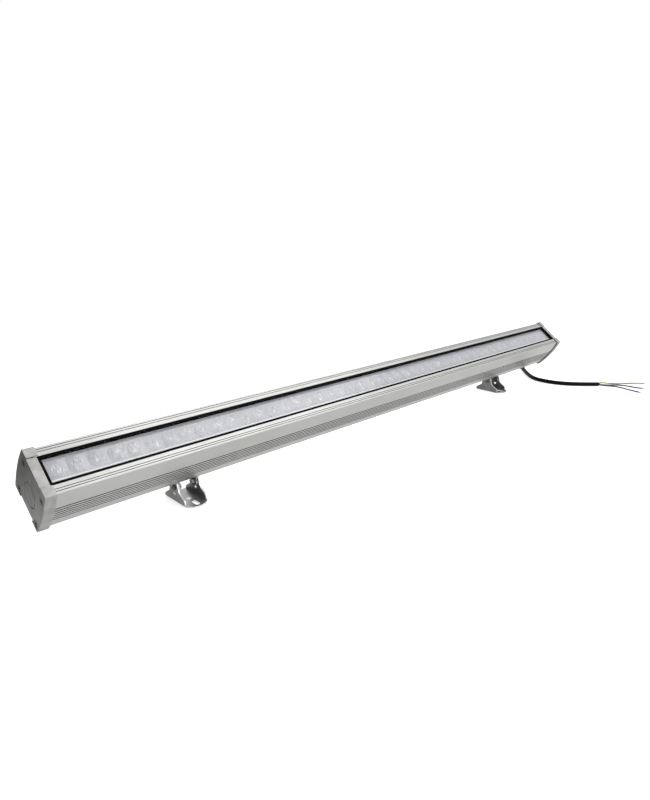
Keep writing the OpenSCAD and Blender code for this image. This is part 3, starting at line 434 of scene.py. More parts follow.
def mark_cut_edges(piece, foot_x, sheet_top, turned):
    """Marks the sheared edges of a bent sheet with 1, where the finish paints a highlight: on an ear or arm
    they are the faces that don't look along x, and on the plate the faces that look neither up nor down."""
    mesh = piece.data
    normal, middle = np.empty(3 * len(mesh.polygons)), np.empty(3 * len(mesh.polygons))
    mesh.polygons.foreach_get("normal", normal)
    mesh.polygons.foreach_get("center", middle)
    normal, middle = normal.reshape(-1, 3), middle.reshape(-1, 3) / MM
    c, s = (math.cos(TILT), math.sin(TILT)) if turned else (1.0, 0.0)
    n_across, n_up = normal[:, 1] * c + normal[:, 2] * s, -normal[:, 1] * s + normal[:, 2] * c
    height = -(middle[:, 1] - PIVOT_Y) * s + (middle[:, 2] - PIVOT_Z) * c + (PIVOT_W if turned else PIVOT_Z)
    on_ear = height < sheet_top if turned else height > sheet_top
    in_hole = abs(middle[:, 0] - foot_x) < HOLE_REACH
    on_plate = (abs(n_up) < FACING_SHARE) & ((abs(n_across) > FACING_SHARE) | in_hole)
    cut = np.where(on_ear, abs(normal[:, 0]) < FACING_SHARE, on_plate)
    mesh.attributes.new("edge_highlight", "FLOAT", "FACE").data.foreach_set("value", cut.astype(float))
    return int(cut.sum())


FOOT_X, FLOOR_SHEET_TOP, SWIVEL_SHEET_TOP = 330, 3.2, -3.4
for side, foot_x in (("left", -FOOT_X), ("right", FOOT_X)):
    on_floor = mark_cut_edges(softened_pieces["floor_bracket_" + side], foot_x, FLOOR_SHEET_TOP, False)
    on_swivel = mark_cut_edges(softened_pieces["swivel_bracket_" + side], foot_x, SWIVEL_SHEET_TOP, True)
    print("cut edges:", on_floor, on_swivel)


def mark_inner_rim(piece, outwards):
    """Marks with 1 the cap's faces that look back along the bar, towards its middle, where the finish
    paints the shade of the joint behind the cap.
    """
    mesh = piece.data
    normal = np.empty(3 * len(mesh.polygons))
    mesh.polygons.foreach_get("normal", normal)
    inner = normal.reshape(-1, 3)[:, 0] * outwards < -LOOKS_BACK_SHARE
    mesh.attributes.new("rim_shade", "FLOAT", "FACE").data.foreach_set("value", inner.astype(float))
    return int(inner.sum())


for side, outwards in (("left", -1), ("right", 1)):
    print("inner rim faces:", mark_inner_rim(softened_pieces["end_cap_" + side], outwards))
print("softened:", len(softened_pieces))

# %% [markdown]
# Under the glass lie the lens bars: clear mouldings with a round lens over each light chip. Each lens
# fills a rectangular cell of the bar. A grid that starts as circles round the lens's middle and
# ends on the cell's border makes the lens crisp with few faces.

# %% Lens bars
BARS, LENSES_IN_BAR = 4, 12
LENSES = BARS * LENSES_IN_BAR
LENS_PITCH = 974.6 / LENSES
BAR_HALF_U = 15.1
LENS_R, LENS_FOOT_R = 9.85, 4.14
PLATE_TOP, PLATE_T, LENS_FOOT_W = 53.9, 1.8, 41.4
BAR_GAP = 0.2
# How far the pattern of sparks moves on from one lens to the next
LENS_SHIFT = 3.7
DOME_H, STEP_H, STEP_COUNT = 0.62, 0.05, 7
PIP_H, PIP_SPREAD = 0.1, 0.12
LENS_SIDES, LENS_RINGS = 48, 30


def lens_height(t):
    """Height of the lens over the bar's plate at t, 0 in its middle and 1 at its edge: a shallow dome
    that is ringed by fine steps, with a small pip in its middle."""
    dome = DOME_H * (1 - t**2)
    faded = np.clip((t - 0.2) / 0.2, 0, 1) * np.clip((1 - t) / 0.1, 0, 1)
    steps = STEP_H * np.cos(2 * np.pi * STEP_COUNT * t) * faded
    pip = PIP_H * np.exp(-((t / PIP_SPREAD) ** 2))
    return dome + steps + pip


def lens_cell(left_reach, right_reach):
    """Rings of points over one lens as x, u and w: from the middle of its top out to the cell's border,
    round the plate's edge, back under the plate and down the cone to the lens's foot."""
    corner = math.atan2(BAR_HALF_U, LENS_PITCH / 2)
    corners = [corner, np.pi - corner, np.pi + corner, 2 * np.pi - corner]
    a = np.concatenate([np.linspace(0, 2 * np.pi, LENS_SIDES, endpoint=False), corners])
    a = np.unique(a.round(9))
    reach_x = np.where(np.cos(a) < 0, left_reach, right_reach)
    border_x = LENS_PITCH / 2 / np.maximum(abs(np.cos(a)), 1e-9)
    border = np.minimum(border_x, BAR_HALF_U / np.maximum(abs(np.sin(a)), 1e-9))
    edge_x = np.clip(border * np.cos(a) / (LENS_PITCH / 2), -1, 1) * reach_x
    edge_u = border * np.sin(a)
    t = np.concatenate([np.linspace(0.02, 0.94, LENS_RINGS), [0.97, 1.0]])[:, None]
    round_x, round_u = t * LENS_R * np.cos(a), t * LENS_R * np.sin(a)
    under = np.array([[LENS_R, PLATE_TOP - PLATE_T], [LENS_FOOT_R, LENS_FOOT_W], [0.05, LENS_FOOT_W]])
    x = np.vstack([round_x, edge_x, edge_x, under[:, :1] * np.cos(a)])
    u = np.vstack([round_u, edge_u, edge_u, under[:, :1] * np.sin(a)])
    ones = np.ones_like(a)
    top = (PLATE_TOP + lens_height(t)) * ones
    w = np.vstack([top, PLATE_TOP * ones, (PLATE_TOP - PLATE_T) * ones, under[:, 1:] * ones])
    return x, u, w


def lens_bar(bar):
    """Lens cells side by side; the walls between two cells are left out, so the bar is one skin."""
    points, faces, first = [], [], 0
    for k in range(LENSES_IN_BAR):
        is_first, is_last = k == 0, k == LENSES_IN_BAR - 1
        left = LENS_PITCH / 2 - (BAR_GAP / 2 if is_first else 0)
        right = LENS_PITCH / 2 - (BAR_GAP / 2 if is_last else 0)
        x, u, w = lens_cell(left, right)
        rows, columns = x.shape
        middle = (bar * LENSES_IN_BAR + k - (LENSES - 1) / 2) * LENS_PITCH
        points.append(bar_to_world(middle + x, u, w).reshape(-1, 3))
        quads = np.array(grid_faces(rows, columns)).reshape(rows - 1, columns, 4)
        edge = np.arange(columns)
        ahead = (edge + 1) % columns
        # The plate's edge is the fifth row from the end; the wall to the next lens hangs from it
        edge_row = rows - 5
        rim = x[edge_row]
        flat_left = (abs(rim + left) < 1e-6) & (abs(rim[ahead] + left) < 1e-6) & (not is_first)
        flat_right = (abs(rim - right) < 1e-6) & (abs(rim[ahead] - right) < 1e-6) & (not is_last)
        wall = quads[edge_row][~(flat_left | flat_right)]
        above, below = quads[:edge_row].reshape(-1, 4), quads[edge_row + 1 :].reshape(-1, 4)
        faces += (np.concatenate([above, wall, below]) + first).tolist()
        faces += [(first + edge[::-1]).tolist(), (first + (rows - 1) * columns + edge).tolist()]
        first += rows * columns
    node = f"lens_bar_{bar + 1}"
    piece = new_piece(node + "_moulding", np.vstack(points), faces, "lamp", "lens_plastic", [node], 50)
    spot_x, spot_u, spot_w = bar_spots(piece.data)
    lens_number = np.floor(spot_x / LENS_PITCH + LENSES / 2)
    across = (spot_x / LENS_PITCH + LENSES / 2) % 1 - 0.5
    place = np.stack([across * LENS_PITCH, spot_u, lens_number * LENS_SHIFT], -1)
    piece.data.attributes.new("lens_place", "FLOAT_VECTOR", "POINT").data.foreach_set("vector", place.ravel())
    return piece


lens_bars = [lens_bar(bar) for bar in range(BARS)]
print("lens faces in a bar:", len(lens_bars[0].data.polygons))

# %% [markdown]
# Finishes are built from shader nodes. Three small groups carry the effects that many finishes
# share: slow changes of tone, fine grain stretched along one direction, and rare thin scratches.
# Each finish then sets its own colour, gloss and depth.

# %% Shared shader groups
def group_of(name, inputs, outputs):
    """An empty shader group with named sockets; inputs are (name, type, value)."""
    group = bpy.data.node_groups.new(name, "ShaderNodeTree")
    for label, kind, value in inputs:
        socket = group.interface.new_socket(name=label, in_out="INPUT", socket_type=kind)
        socket.default_value = value
    for label, kind in outputs:
        group.interface.new_socket(name=label, in_out="OUTPUT", socket_type=kind)
    start = group.nodes.new("NodeGroupInput")
    end = group.nodes.new("NodeGroupOutput")
    return group, start, end


def noise_in(tree, vector, scale, detail, roughness=0.5):
    """A noise texture on a vector."""
    noise = tree.nodes.new("ShaderNodeTexNoise")
    noise.inputs["Detail"].default_value = detail
    noise.inputs["Roughness"].default_value = roughness
    tree.links.new(vector, noise.inputs["Vector"])
    if hasattr(scale, "is_linked"):
        tree.links.new(scale, noise.inputs["Scale"])
    else:
        noise.inputs["Scale"].default_value = scale
    return noise.outputs["Fac"]


def sharpened(tree, value, low, high):
    """Stretches the values between low and high to the full range."""
    ramp = tree.nodes.new("ShaderNodeMapRange")
    ramp.inputs["From Min"].default_value = low
    ramp.inputs["From Max"].default_value = high
    tree.links.new(value, ramp.inputs["Value"])
    return ramp.outputs["Result"]


def make_tone_group():
    """Two near tones that change slowly over a surface: large noise picks between them."""
    group, start, end = group_of("slow tone", [
        ("Dark", "NodeSocketColor", (0.4, 0.4, 0.4, 1)), ("Light", "NodeSocketColor", (0.6, 0.6, 0.6, 1)),
        ("Scale", "NodeSocketFloat", 30.0)], [("Color", "NodeSocketColor"), ("Mask", "NodeSocketFloat")])
    place = group.nodes.new("ShaderNodeTexCoord").outputs["Object"]
    mask = sharpened(group, noise_in(group, place, start.outputs["Scale"], 3), 0.3, 0.7)
    mix = group.nodes.new("ShaderNodeMix")
    mix.data_type = "RGBA"
    group.links.new(mask, mix.inputs["Factor"])
    group.links.new(start.outputs["Dark"], mix.inputs[6])
    group.links.new(start.outputs["Light"], mix.inputs[7])
    group.links.new(mix.outputs[2], end.inputs["Color"])
    group.links.new(mask, end.inputs["Mask"])
    return group


def make_grain_group():
    """Fine grain: noise on coordinates that are pressed together along the grain's direction."""
    group, start, end = group_of("fine grain", [
        ("Stretch", "NodeSocketVector", (1, 1, 1)), ("Scale", "NodeSocketFloat", 900.0)],
        [("Height", "NodeSocketFloat"), ("Mask", "NodeSocketFloat")])
    place = group.nodes.new("ShaderNodeTexCoord").outputs["Object"]
    press = group.nodes.new("ShaderNodeVectorMath")
    press.operation = "MULTIPLY"
    group.links.new(place, press.inputs[0])
    group.links.new(start.outputs["Stretch"], press.inputs[1])
    height = noise_in(group, press.outputs["Vector"], start.outputs["Scale"], 2, 0.6)
    group.links.new(height, end.inputs["Height"])
    group.links.new(sharpened(group, height, 0.35, 0.65), end.inputs["Mask"])
    return group


SCRATCH_LEVEL, SCRATCH_WIDTH = 0.5, 0.004


def make_scratch_group():
    """Rare thin scratches: the narrow lines along which a stretched noise has its middle value, kept
    where another noise is high."""
    group, start, end = group_of("thin scratches", [
        ("Scale", "NodeSocketFloat", 40.0), ("Stretch", "NodeSocketVector", (1, 1, 1))],
        [("Mask", "NodeSocketFloat")])
    place = group.nodes.new("ShaderNodeTexCoord").outputs["Object"]
    press = group.nodes.new("ShaderNodeVectorMath")
    press.operation = "MULTIPLY"
    group.links.new(place, press.inputs[0])
    group.links.new(start.outputs["Stretch"], press.inputs[1])
    line = noise_in(group, press.outputs["Vector"], start.outputs["Scale"], 2)
    middle = group.nodes.new("ShaderNodeMath")
    middle.operation = "COMPARE"
    middle.inputs[1].default_value = SCRATCH_LEVEL
    middle.inputs[2].default_value = SCRATCH_WIDTH
    group.links.new(line, middle.inputs[0])
    where = sharpened(group, noise_in(group, place, 23.0, 1), 0.55, 0.7)
    both = group.nodes.new("ShaderNodeMath")
    both.operation = "MULTIPLY"
    group.links.new(middle.outputs[0], both.inputs[0])
    group.links.new(where, both.inputs[1])
    group.links.new(both.outputs[0], end.inputs["Mask"])
    return group


TONE, GRAIN, SCRATCH = make_tone_group(), make_grain_group(), make_scratch_group()
print("shader groups:", TONE.name, GRAIN.name, SCRATCH.name)

# %% Finish builder
ALONG_X = (0.02, 1, 1)
EVEN = (1, 1, 1)


def placed(tree, group, **values):
    """Places a shared group in a material and sets its inputs."""
    node = tree.nodes.new("ShaderNodeGroup")
    node.node_tree = group
    for label, value in values.items():
        node.inputs[label].default_value = value
    return node


def grey(value, tint=(1, 1, 1)):
    """A colour from one brightness and a tint."""
    return (value * tint[0], value * tint[1], value * tint[2], 1)


def make_finish(name, dark, light, metallic=0.0, rough=(0.35, 0.5), tone_scale=30.0, grain=(EVEN, 900.0),
                bump=0.1, bump_mm=0.05, scratches=None, **plain):
    """A finish: tone from two colours, roughness that follows the grain, a fine bump and, if wanted,
    scratches. The plain values go straight to the shader's sockets, with underscores for spaces."""
    material = bpy.data.materials.new(name)
    material.use_nodes = True
    tree = material.node_tree
    shader = tree.nodes["Principled BSDF"]
    shader.inputs["Metallic"].default_value = metallic
    for label, value in plain.items():
        shader.inputs[label.replace("_", " ")].default_value = value
    tone = placed(tree, TONE, Dark=dark, Light=light, Scale=tone_scale)
    fine = placed(tree, GRAIN, Stretch=grain[0], Scale=grain[1])
    tree.links.new(tone.outputs["Color"], shader.inputs["Base Color"])
    gloss = tree.nodes.new("ShaderNodeMapRange")
    gloss.inputs["To Min"].default_value = rough[0]
    gloss.inputs["To Max"].default_value = rough[1]
    tree.links.new(fine.outputs["Mask"], gloss.inputs["Value"])
    tree.links.new(gloss.outputs["Result"], shader.inputs["Roughness"])
    relief = tree.nodes.new("ShaderNodeBump")
    relief.inputs["Strength"].default_value = bump
    relief.inputs["Distance"].default_value = bump_mm * MM
    height = fine.outputs["Height"]
    if scratches:
        scratch = placed(tree, SCRATCH, Scale=scratches[1], Stretch=scratches[0])
        lower = tree.nodes.new("ShaderNodeMath")
        lower.operation = "SUBTRACT"
        tree.links.new(height, lower.inputs[0])
        tree.links.new(scratch.outputs["Mask"], lower.inputs[1])
        height = lower.outputs[0]
    tree.links.new(height, relief.inputs["Height"])
    tree.links.new(relief.outputs["Normal"], shader.inputs["Normal"])
    return material


def masked_tint(material, attribute, tint, low=0.0, high=1.0):
    """Mixes a tint into a finish's colour where an attribute of the mesh is high."""
    tree = material.node_tree
    shader = tree.nodes["Principled BSDF"]
    before = shader.inputs["Base Color"].links[0].from_socket
    mark = tree.nodes.new("ShaderNodeAttribute")
    mark.attribute_name = attribute
    mix = tree.nodes.new("ShaderNodeMix")
    mix.data_type = "RGBA"
    tree.links.new(sharpened(tree, mark.outputs["Fac"], low, high), mix.inputs["Factor"])
    tree.links.new(before, mix.inputs[6])
    mix.inputs[7].default_value = tint
    tree.links.new(mix.outputs[2], shader.inputs["Base Color"])


print("finish builder ready")

# %% [markdown]
# Anodised aluminium is a satin metal: bright, slightly grey, with faint lines along the extrusion.
# Cast caps have a like tone without the lines. Brackets are plated sheet, darker and with an even
# grain. Rubber, plastic and glass follow.

# %% Finishes
finishes = {
    "anodised_aluminium": make_finish(
        "satin anodised aluminium", grey(0.50, (1, 1, 0.97)), grey(0.55, (1, 1, 0.98)), 0.7,
        (0.38, 0.5), 14, (ALONG_X, 1400), 0.25, 0.03, ((0.05, 1, 1), 60)),
    "cap_metal": make_finish(
        "cast cap", grey(0.36, (1, 0.99, 0.96)), grey(0.5, (1, 0.99, 0.97)), 0.55, (0.4, 0.58), 90,
        (EVEN, 1100), 0.3, 0.06, (EVEN, 50)),
    "black_rubber": make_finish(
        "black gasket rubber", grey(0.003), grey(0.005), 0.0, (0.6, 0.75), 60, (EVEN, 1500), 0.1, 0.03,
        Specular_IOR_Level=0.05),
    "steel_screws": make_finish(
        "stainless screws", grey(0.12), grey(0.18), 0.9, (0.25, 0.4), 200, (EVEN, 2500), 0.2, 0.02),
    "lens_plastic": make_finish(
        "clear lens moulding", grey(0.57, (0.96, 0.99, 1.08)), grey(0.65, (0.98, 0.98, 1.06)), 0.0,
        (0.08, 0.16), 45, (EVEN, 400), 0.05, 0.02, Coat_Weight=0.6, Coat_Roughness=0.05),
    "board_white": make_finish(
        "white solder mask", grey(0.75), grey(0.82), 0.0, (0.3, 0.4), 80, (EVEN, 900), 0.1, 0.02),
    "chip_yellow": make_finish(
        "phosphor under silicone", (0.75, 0.6, 0.12, 1), (0.85, 0.7, 0.2, 1), 0.0, (0.2, 0.3), 300,
        (EVEN, 1200), 0.1, 0.02),
    "supply_metal": make_finish(
        "plain aluminium case", grey(0.5), grey(0.6), 0.9, (0.35, 0.5), 30, (ALONG_X, 900), 0.3, 0.03),
    "potting": make_finish(
        "black potting", grey(0.02), grey(0.035), 0.0, (0.35, 0.5), 60, (EVEN, 500), 0.2, 0.05),
    "lug_brass": make_finish(
        "brass lug", (0.6, 0.42, 0.16, 1), (0.7, 0.5, 0.2, 1), 1.0, (0.25, 0.4), 150, (EVEN, 1500),
        0.2, 0.02),
    "insulation_brown": make_finish(
        "brown insulation", (0.022, 0.008, 0.005, 1), (0.035, 0.013, 0.008, 1), 0.0, (0.3, 0.42), 120,
        (EVEN, 1500), 0.1, 0.02),
    "insulation_blue": make_finish(
        "blue insulation", (0.003, 0.035, 0.15, 1), (0.004, 0.045, 0.19, 1), 0.0, (0.3, 0.42), 120,
        (EVEN, 1500), 0.1, 0.02),
    "insulation_earth": make_finish(
        "green and yellow insulation", (0.3, 0.26, 0.02, 1), (0.38, 0.33, 0.025, 1), 0.0, (0.3, 0.42),
        120, (EVEN, 1500), 0.1, 0.02),
    "insulation_red": make_finish(
        "red insulation", (0.35, 0.01, 0.01, 1), (0.45, 0.02, 0.02, 1), 0.0, (0.3, 0.42), 120,
        (EVEN, 1500), 0.1, 0.02),
    "gland_metal": make_finish(
        "nickel plated brass", grey(0.55, (1, 0.98, 0.93)), grey(0.62, (1, 0.98, 0.93)), 1.0,
        (0.22, 0.35), 90, (EVEN, 1500), 0.2, 0.02),
    "cable_rubber": make_finish(
        "cable jacket", grey(0.002), grey(0.004), 0.0, (0.45, 0.6), 50, (EVEN, 1300), 0.2, 0.05,
        Specular_IOR_Level=0.12),
    "tinned_copper": make_finish(
        "tinned strands", grey(0.6), grey(0.7), 1.0, (0.25, 0.4), 200, (EVEN, 1500), 0.2, 0.02),
    "bracket_steel": make_finish(
        "plated bracket steel", grey(0.19), grey(0.3), 0.7, (0.36, 0.5), 60, (EVEN, 1300), 0.3, 0.05,
        (EVEN, 70)),
    "clear_glass": make_finish(
        "tempered glass", grey(0.02, (0.9, 1, 1)), grey(0.03, (0.9, 1, 1)), 0.0, (0.02, 0.05), 20,
        (EVEN, 200), 0.02, 0.01),
}
GLASS_ALPHA = 0.06
glass_shader = finishes["clear_glass"].node_tree.nodes["Principled BSDF"]
glass_shader.inputs["Alpha"].default_value = GLASS_ALPHA
# Painted shade: points deep in a groove are tinted near black, standing for the shade that falls into the
# grooves
masked_tint(finishes["anodised_aluminium"], "groove", grey(0.012), 0.02, 0.3)
# Painted shade: the cap's faces that look back along the bar are tinted near black, for the shade in the
# joint behind the cap
masked_tint(finishes["cap_metal"], "rim_shade", grey(0.04))
# Painted highlight: the sheared edges of the brackets are tinted near white, for the light that they catch
masked_tint(finishes["bracket_steel"], "edge_highlight", grey(0.85))
print("finishes:", len(finishes))

# %% [markdown]
# Each lens is a bundle of fine ribs that break the light into sparks. The ribs are not modelled: their sparks
# are painted as white glints and their shaded sides as grey streaks. The pattern is drawn on the lens's own
# coordinates, in mm from its middle, so that every lens has the same build: thin streaks across the bar, dark
# ones of painted shade all over it and bright ones of painted glint that fade towards the lens's rim. The
# third coordinate differs from lens to lens and makes each one's painted glints fall in other places.

# %% Painted glints and shade in the lenses
EDGE_LINE_U, EDGE_LINE_W = 10.6, 1.6
# How tightly the noise is pressed along x, across the bar and from lens to lens
# The bright streaks are painted glints and the dark ones painted shade
GLINT_STREAKS, SHADE_STREAKS = (0.55, 0.16, 1.0), (0.8, 0.2, 2.3)
GLINT_WHITE, STREAK_SHADE_GREY = grey(0.98), grey(0.3, (0.97, 0.99, 1.06))
# Painted glints are full up to this share of the lens's radius
FULL_GLINT_SHARE = 0.25
lens_tree = finishes["lens_plastic"].node_tree
lens_place = lens_tree.nodes.new("ShaderNodeAttribute")
lens_place.attribute_name = "lens_place"


def lens_streaks(stretch, low, high):
    """Thin streaks across the bar: noise that is pressed together along x, kept between low and high."""
    press = lens_tree.nodes.new("ShaderNodeVectorMath")
    press.operation = "MULTIPLY"
    press.inputs[1].default_value = stretch
    lens_tree.links.new(lens_place.outputs["Vector"], press.inputs[0])
    return sharpened(lens_tree, noise_in(lens_tree, press.outputs["Vector"], 1.0, 2, 0.6), low, high)


def tinted(mask, tint, before):
    """Mixes a tint over a colour where the mask is high."""
    mix = lens_tree.nodes.new("ShaderNodeMix")
    mix.data_type = "RGBA"
    mix.inputs[7].default_value = tint
    lens_tree.links.new(mask, mix.inputs["Factor"])
    lens_tree.links.new(before, mix.inputs[6])
    return mix.outputs[2]


flat_place = lens_tree.nodes.new("ShaderNodeVectorMath")
flat_place.operation = "MULTIPLY"
flat_place.inputs[1].default_value = (1, 1, 0)
lens_tree.links.new(lens_place.outputs["Vector"], flat_place.inputs[0])
from_middle = lens_tree.nodes.new("ShaderNodeVectorMath")
from_middle.operation = "LENGTH"
lens_tree.links.new(flat_place.outputs["Vector"], from_middle.inputs[0])
inside = sharpened(lens_tree, from_middle.outputs["Value"], LENS_R, FULL_GLINT_SHARE * LENS_R)
glint_mask = lens_tree.nodes.new("ShaderNodeMath")
glint_mask.operation = "MULTIPLY"
lens_tree.links.new(inside, glint_mask.inputs[0])
lens_tree.links.new(lens_streaks(GLINT_STREAKS, 0.52, 0.68), glint_mask.inputs[1])
lens_shader = lens_tree.nodes["Principled BSDF"]
lens_colour = lens_shader.inputs["Base Color"].links[0].from_socket
# Painted shade in the dark streaks, and over it painted glints in the bright ones
lens_colour = tinted(lens_streaks(SHADE_STREAKS, 0.56, 0.8), STREAK_SHADE_GREY, lens_colour)
lens_colour = tinted(glint_mask.outputs[0], GLINT_WHITE, lens_colour)
lens_axes = lens_tree.nodes.new("ShaderNodeSeparateXYZ")
lens_tree.links.new(lens_place.outputs["Vector"], lens_axes.inputs[0])
from_axis = lens_tree.nodes.new("ShaderNodeMath")
from_axis.operation = "MULTIPLY"
from_axis.inputs[1].default_value = -1.0
lens_tree.links.new(lens_axes.outputs["Y"], from_axis.inputs[0])
# A painted white line stands for the light that the strip's front edge catches
on_edge_line = lens_tree.nodes.new("ShaderNodeMath")
on_edge_line.operation = "COMPARE"
on_edge_line.inputs[1].default_value = EDGE_LINE_U
on_edge_line.inputs[2].default_value = EDGE_LINE_W / 2
lens_tree.links.new(from_axis.outputs[0], on_edge_line.inputs[0])
lens_colour = tinted(on_edge_line.outputs[0], GLINT_WHITE, lens_colour)
lens_tree.links.new(lens_colour, lens_shader.inputs["Base Color"])
print("lens sparks drawn")

# %% [markdown]
# The earth core has green and yellow stripes that run along it in a slow spiral. Its UV map gives the
# way round and the length, so a wave over their sum draws stripes that follow every bend.

# %% Striped earth core
STRIPE_TURNS_PER_METRE, GREEN_SHARE = 28.0, 0.42
earth = finishes["insulation_earth"].node_tree
uv = earth.nodes.new("ShaderNodeUVMap")
uv.uv_map = "along"
split = earth.nodes.new("ShaderNodeSeparateXYZ")
earth.links.new(uv.outputs["UV"], split.inputs[0])
twist = earth.nodes.new("ShaderNodeMath")
twist.operation = "MULTIPLY_ADD"
twist.inputs[1].default_value = STRIPE_TURNS_PER_METRE
earth.links.new(split.outputs["Y"], twist.inputs[0])
earth.links.new(split.outputs["X"], twist.inputs[2])
turn_part = earth.nodes.new("ShaderNodeMath")
turn_part.operation = "FRACT"
earth.links.new(twist.outputs[0], turn_part.inputs[0])
stripe = earth.nodes.new("ShaderNodeMath")
stripe.operation = "LESS_THAN"
stripe.inputs[1].default_value = GREEN_SHARE
earth.links.new(turn_part.outputs[0], stripe.inputs[0])
stripe_mix = earth.nodes.new("ShaderNodeMix")
stripe_mix.data_type = "RGBA"
stripe_mix.inputs[7].default_value = (0.012, 0.08, 0.02, 1)
earth_shader = earth.nodes["Principled BSDF"]
yellow = earth_shader.inputs["Base Color"].links[0].from_socket
earth.links.new(yellow, stripe_mix.inputs[6])
earth.links.new(stripe.outputs[0], stripe_mix.inputs["Factor"])
earth.links.new(stripe_mix.outputs[2], earth_shader.inputs["Base Color"])
print("stripes on the earth core ready")

# %% Give every piece its finish
for node, piece in frame["nodes"].items():
    for place in piece.material_slots:
        place.material = finishes[SLOT_OF[node]]
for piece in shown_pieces():
    if piece.get("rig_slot"):
        piece.data.materials.clear()
        piece.data.materials.append(finishes[piece["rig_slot"]])

# %% [markdown]
# The floor is plain and pale. For the camera it is white, as in a studio picture, and it keeps a soft
# shadow under the object. For the light that it throws back it fades to dark on the left and behind,
# and so does the sky, because the photograph's left-facing surfaces are dark. Three soft lamps add to
# that: over the bar for the ledges and the glass, in front, and behind for the back of the bar.

# %% Floor
# The floor's fade follows x and y in metres, each times its weight, added up
FLOOR_X_WEIGHT, FLOOR_Y_WEIGHT = 0.8, -0.45
# Between these two sums it goes from its darkest share to its full brightness
FLOOR_FADE_FROM, FLOOR_FADE_TO, FLOOR_DARKEST = -0.62, -0.4, 0.06
# Tone and glow that the camera sees, and what the floor throws back to surfaces and to mirrors
SEEN_TONE, SEEN_GLOW = 0.8, 0.7
THROWN_BACK, MIRRORED_GLOW = 0.48, 0.62
REACH = 20
floor_corners = [(-REACH, -REACH, 0), (REACH, -REACH, 0), (REACH, REACH, 0), (-REACH, REACH, 0)]
floor_mesh = bpy.data.meshes.new("floor")
floor_mesh.from_pydata(floor_corners, [], [(0, 1, 2, 3)])
floor = bpy.data.objects.new("floor", floor_mesh)
bpy.context.scene.collection.objects.link(floor)
floor_paint = bpy.data.materials.new("pale floor")
floor_paint.use_nodes = True
paint = floor_paint.node_tree
paint_shader = paint.nodes["Principled BSDF"]
paint_shader.inputs["Roughness"].default_value = 0.9
paint_shader.inputs["Specular IOR Level"].default_value = 0.1
rays = paint.nodes.new("ShaderNodeLightPath")
place = paint.nodes.new("ShaderNodeSeparateXYZ")
paint.links.new(paint.nodes.new("ShaderNodeTexCoord").outputs["Object"], place.inputs[0])
fade = paint.nodes.new("ShaderNodeMapRange")
fade.interpolation_type = "SMOOTHSTEP"
fade.inputs["From Min"].default_value = FLOOR_FADE_FROM
fade.inputs["From Max"].default_value = FLOOR_FADE_TO
fade.inputs["To Min"].default_value = FLOOR_DARKEST
fade.inputs["To Max"].default_value = 1.0


def paint_math(operation, first, second, third=0.0):
    """One step of arithmetic in the floor's paint; each term is a socket or a number."""
    step = paint.nodes.new("ShaderNodeMath")
    step.operation = operation
    for socket, term in zip(step.inputs, (first, second, third)):
        if hasattr(term, "is_linked"):
            paint.links.new(term, socket)
        else:
            socket.default_value = term
    return step.outputs[0]


backwards = paint_math("MULTIPLY", place.outputs["Y"], FLOOR_Y_WEIGHT)
brightness = paint_math("MULTIPLY_ADD", place.outputs["X"], FLOOR_X_WEIGHT, backwards)
paint.links.new(brightness, fade.inputs["Value"])
seen = paint_math("MAXIMUM", rays.outputs["Is Camera Ray"], rays.outputs["Is Transmission Ray"])
tone = paint.nodes.new("ShaderNodeMix")
tone.data_type = "FLOAT"
tone.inputs["B"].default_value = SEEN_TONE
paint.links.new(seen, tone.inputs["Factor"])
paint.links.new(paint_math("MULTIPLY", fade.outputs["Result"], THROWN_BACK), tone.inputs["A"])
paint.links.new(tone.outputs["Result"], paint_shader.inputs["Base Color"])
mirrored = paint_math("MULTIPLY", fade.outputs["Result"], MIRRORED_GLOW)
shine = paint_math("MULTIPLY", rays.outputs["Is Glossy Ray"], mirrored)
paint_shader.inputs["Emission Color"].default_value = (1, 1, 1, 1)
paint.links.new(paint_math("MULTIPLY_ADD", seen, SEEN_GLOW, shine), paint_shader.inputs["Emission Strength"])
floor.data.materials.append(floor_paint)
print("floor laid")

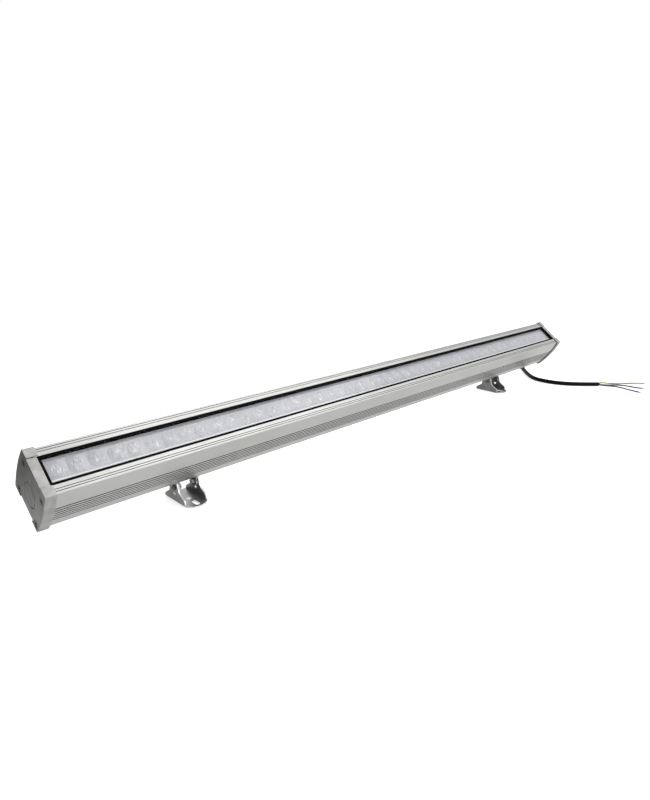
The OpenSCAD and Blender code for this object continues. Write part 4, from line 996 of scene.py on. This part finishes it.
# %% Light
SKY_BRIGHT_SIDE = (0.86, -0.5, 0)
SKY_FADE_FROM, SKY_FADE_TO = -0.7, 0.2
SKY_DARKEST, SKY_BRIGHTEST = 0.06, 0.8
world = bpy.data.worlds.new("studio") if not bpy.data.worlds else bpy.data.worlds[0]
bpy.context.scene.world = world
world.use_nodes = True
sky = world.node_tree
backdrop = sky.nodes["Background"]
backdrop.inputs["Color"].default_value = (1, 1, 1, 1)
sky_rays = sky.nodes.new("ShaderNodeLightPath")
sky_seen = sky.nodes.new("ShaderNodeMath")
sky_seen.operation = "MAXIMUM"
sky.links.new(sky_rays.outputs["Is Camera Ray"], sky_seen.inputs[0])
sky.links.new(sky_rays.outputs["Is Transmission Ray"], sky_seen.inputs[1])
aim = sky.nodes.new("ShaderNodeTexCoord")
toward = sky.nodes.new("ShaderNodeVectorMath")
toward.operation = "DOT_PRODUCT"
toward.inputs[1].default_value = SKY_BRIGHT_SIDE
sky.links.new(aim.outputs["Generated"], toward.inputs[0])
shade = sky.nodes.new("ShaderNodeMapRange")
shade.interpolation_type = "SMOOTHSTEP"
shade.inputs["From Min"].default_value = SKY_FADE_FROM
shade.inputs["From Max"].default_value = SKY_FADE_TO
shade.inputs["To Min"].default_value = SKY_DARKEST
shade.inputs["To Max"].default_value = SKY_BRIGHTEST
sky.links.new(toward.outputs["Value"], shade.inputs["Value"])
level = sky.nodes.new("ShaderNodeMix")
level.data_type = "FLOAT"
level.inputs["B"].default_value = 1.0
sky.links.new(sky_seen.outputs[0], level.inputs["Factor"])
sky.links.new(shade.outputs["Result"], level.inputs["A"])
sky.links.new(level.outputs["Result"], backdrop.inputs["Strength"])


def soft_lamp(name, place, aim, size, power):
    """A square area lamp at a place, turned to face the aim."""
    data = bpy.data.lights.new(name, "AREA")
    data.shape = "SQUARE"
    data.size = size
    data.energy = power
    lamp = bpy.data.objects.new(name, data)
    bpy.context.scene.collection.objects.link(lamp)
    lamp.location = place
    lamp.rotation_euler = (Vector(aim) - Vector(place)).to_track_quat("-Z", "Y").to_euler()
    return lamp


soft_lamp("lamp over the bar", (1.0, -0.4, 2.2), (0, 0, 0), 1.6, 18)
soft_lamp("lamp in front", (0.2, -2.0, 0.9), (0, 0, 0), 1.4, 13)
soft_lamp("lamp behind", (0.5, 1.9, 0.8), (0, 0, 0), 1.4, 12)
print("lamps lit")

# %% Picture settings and sizes
bpy.context.scene.view_settings.view_transform = "Standard"
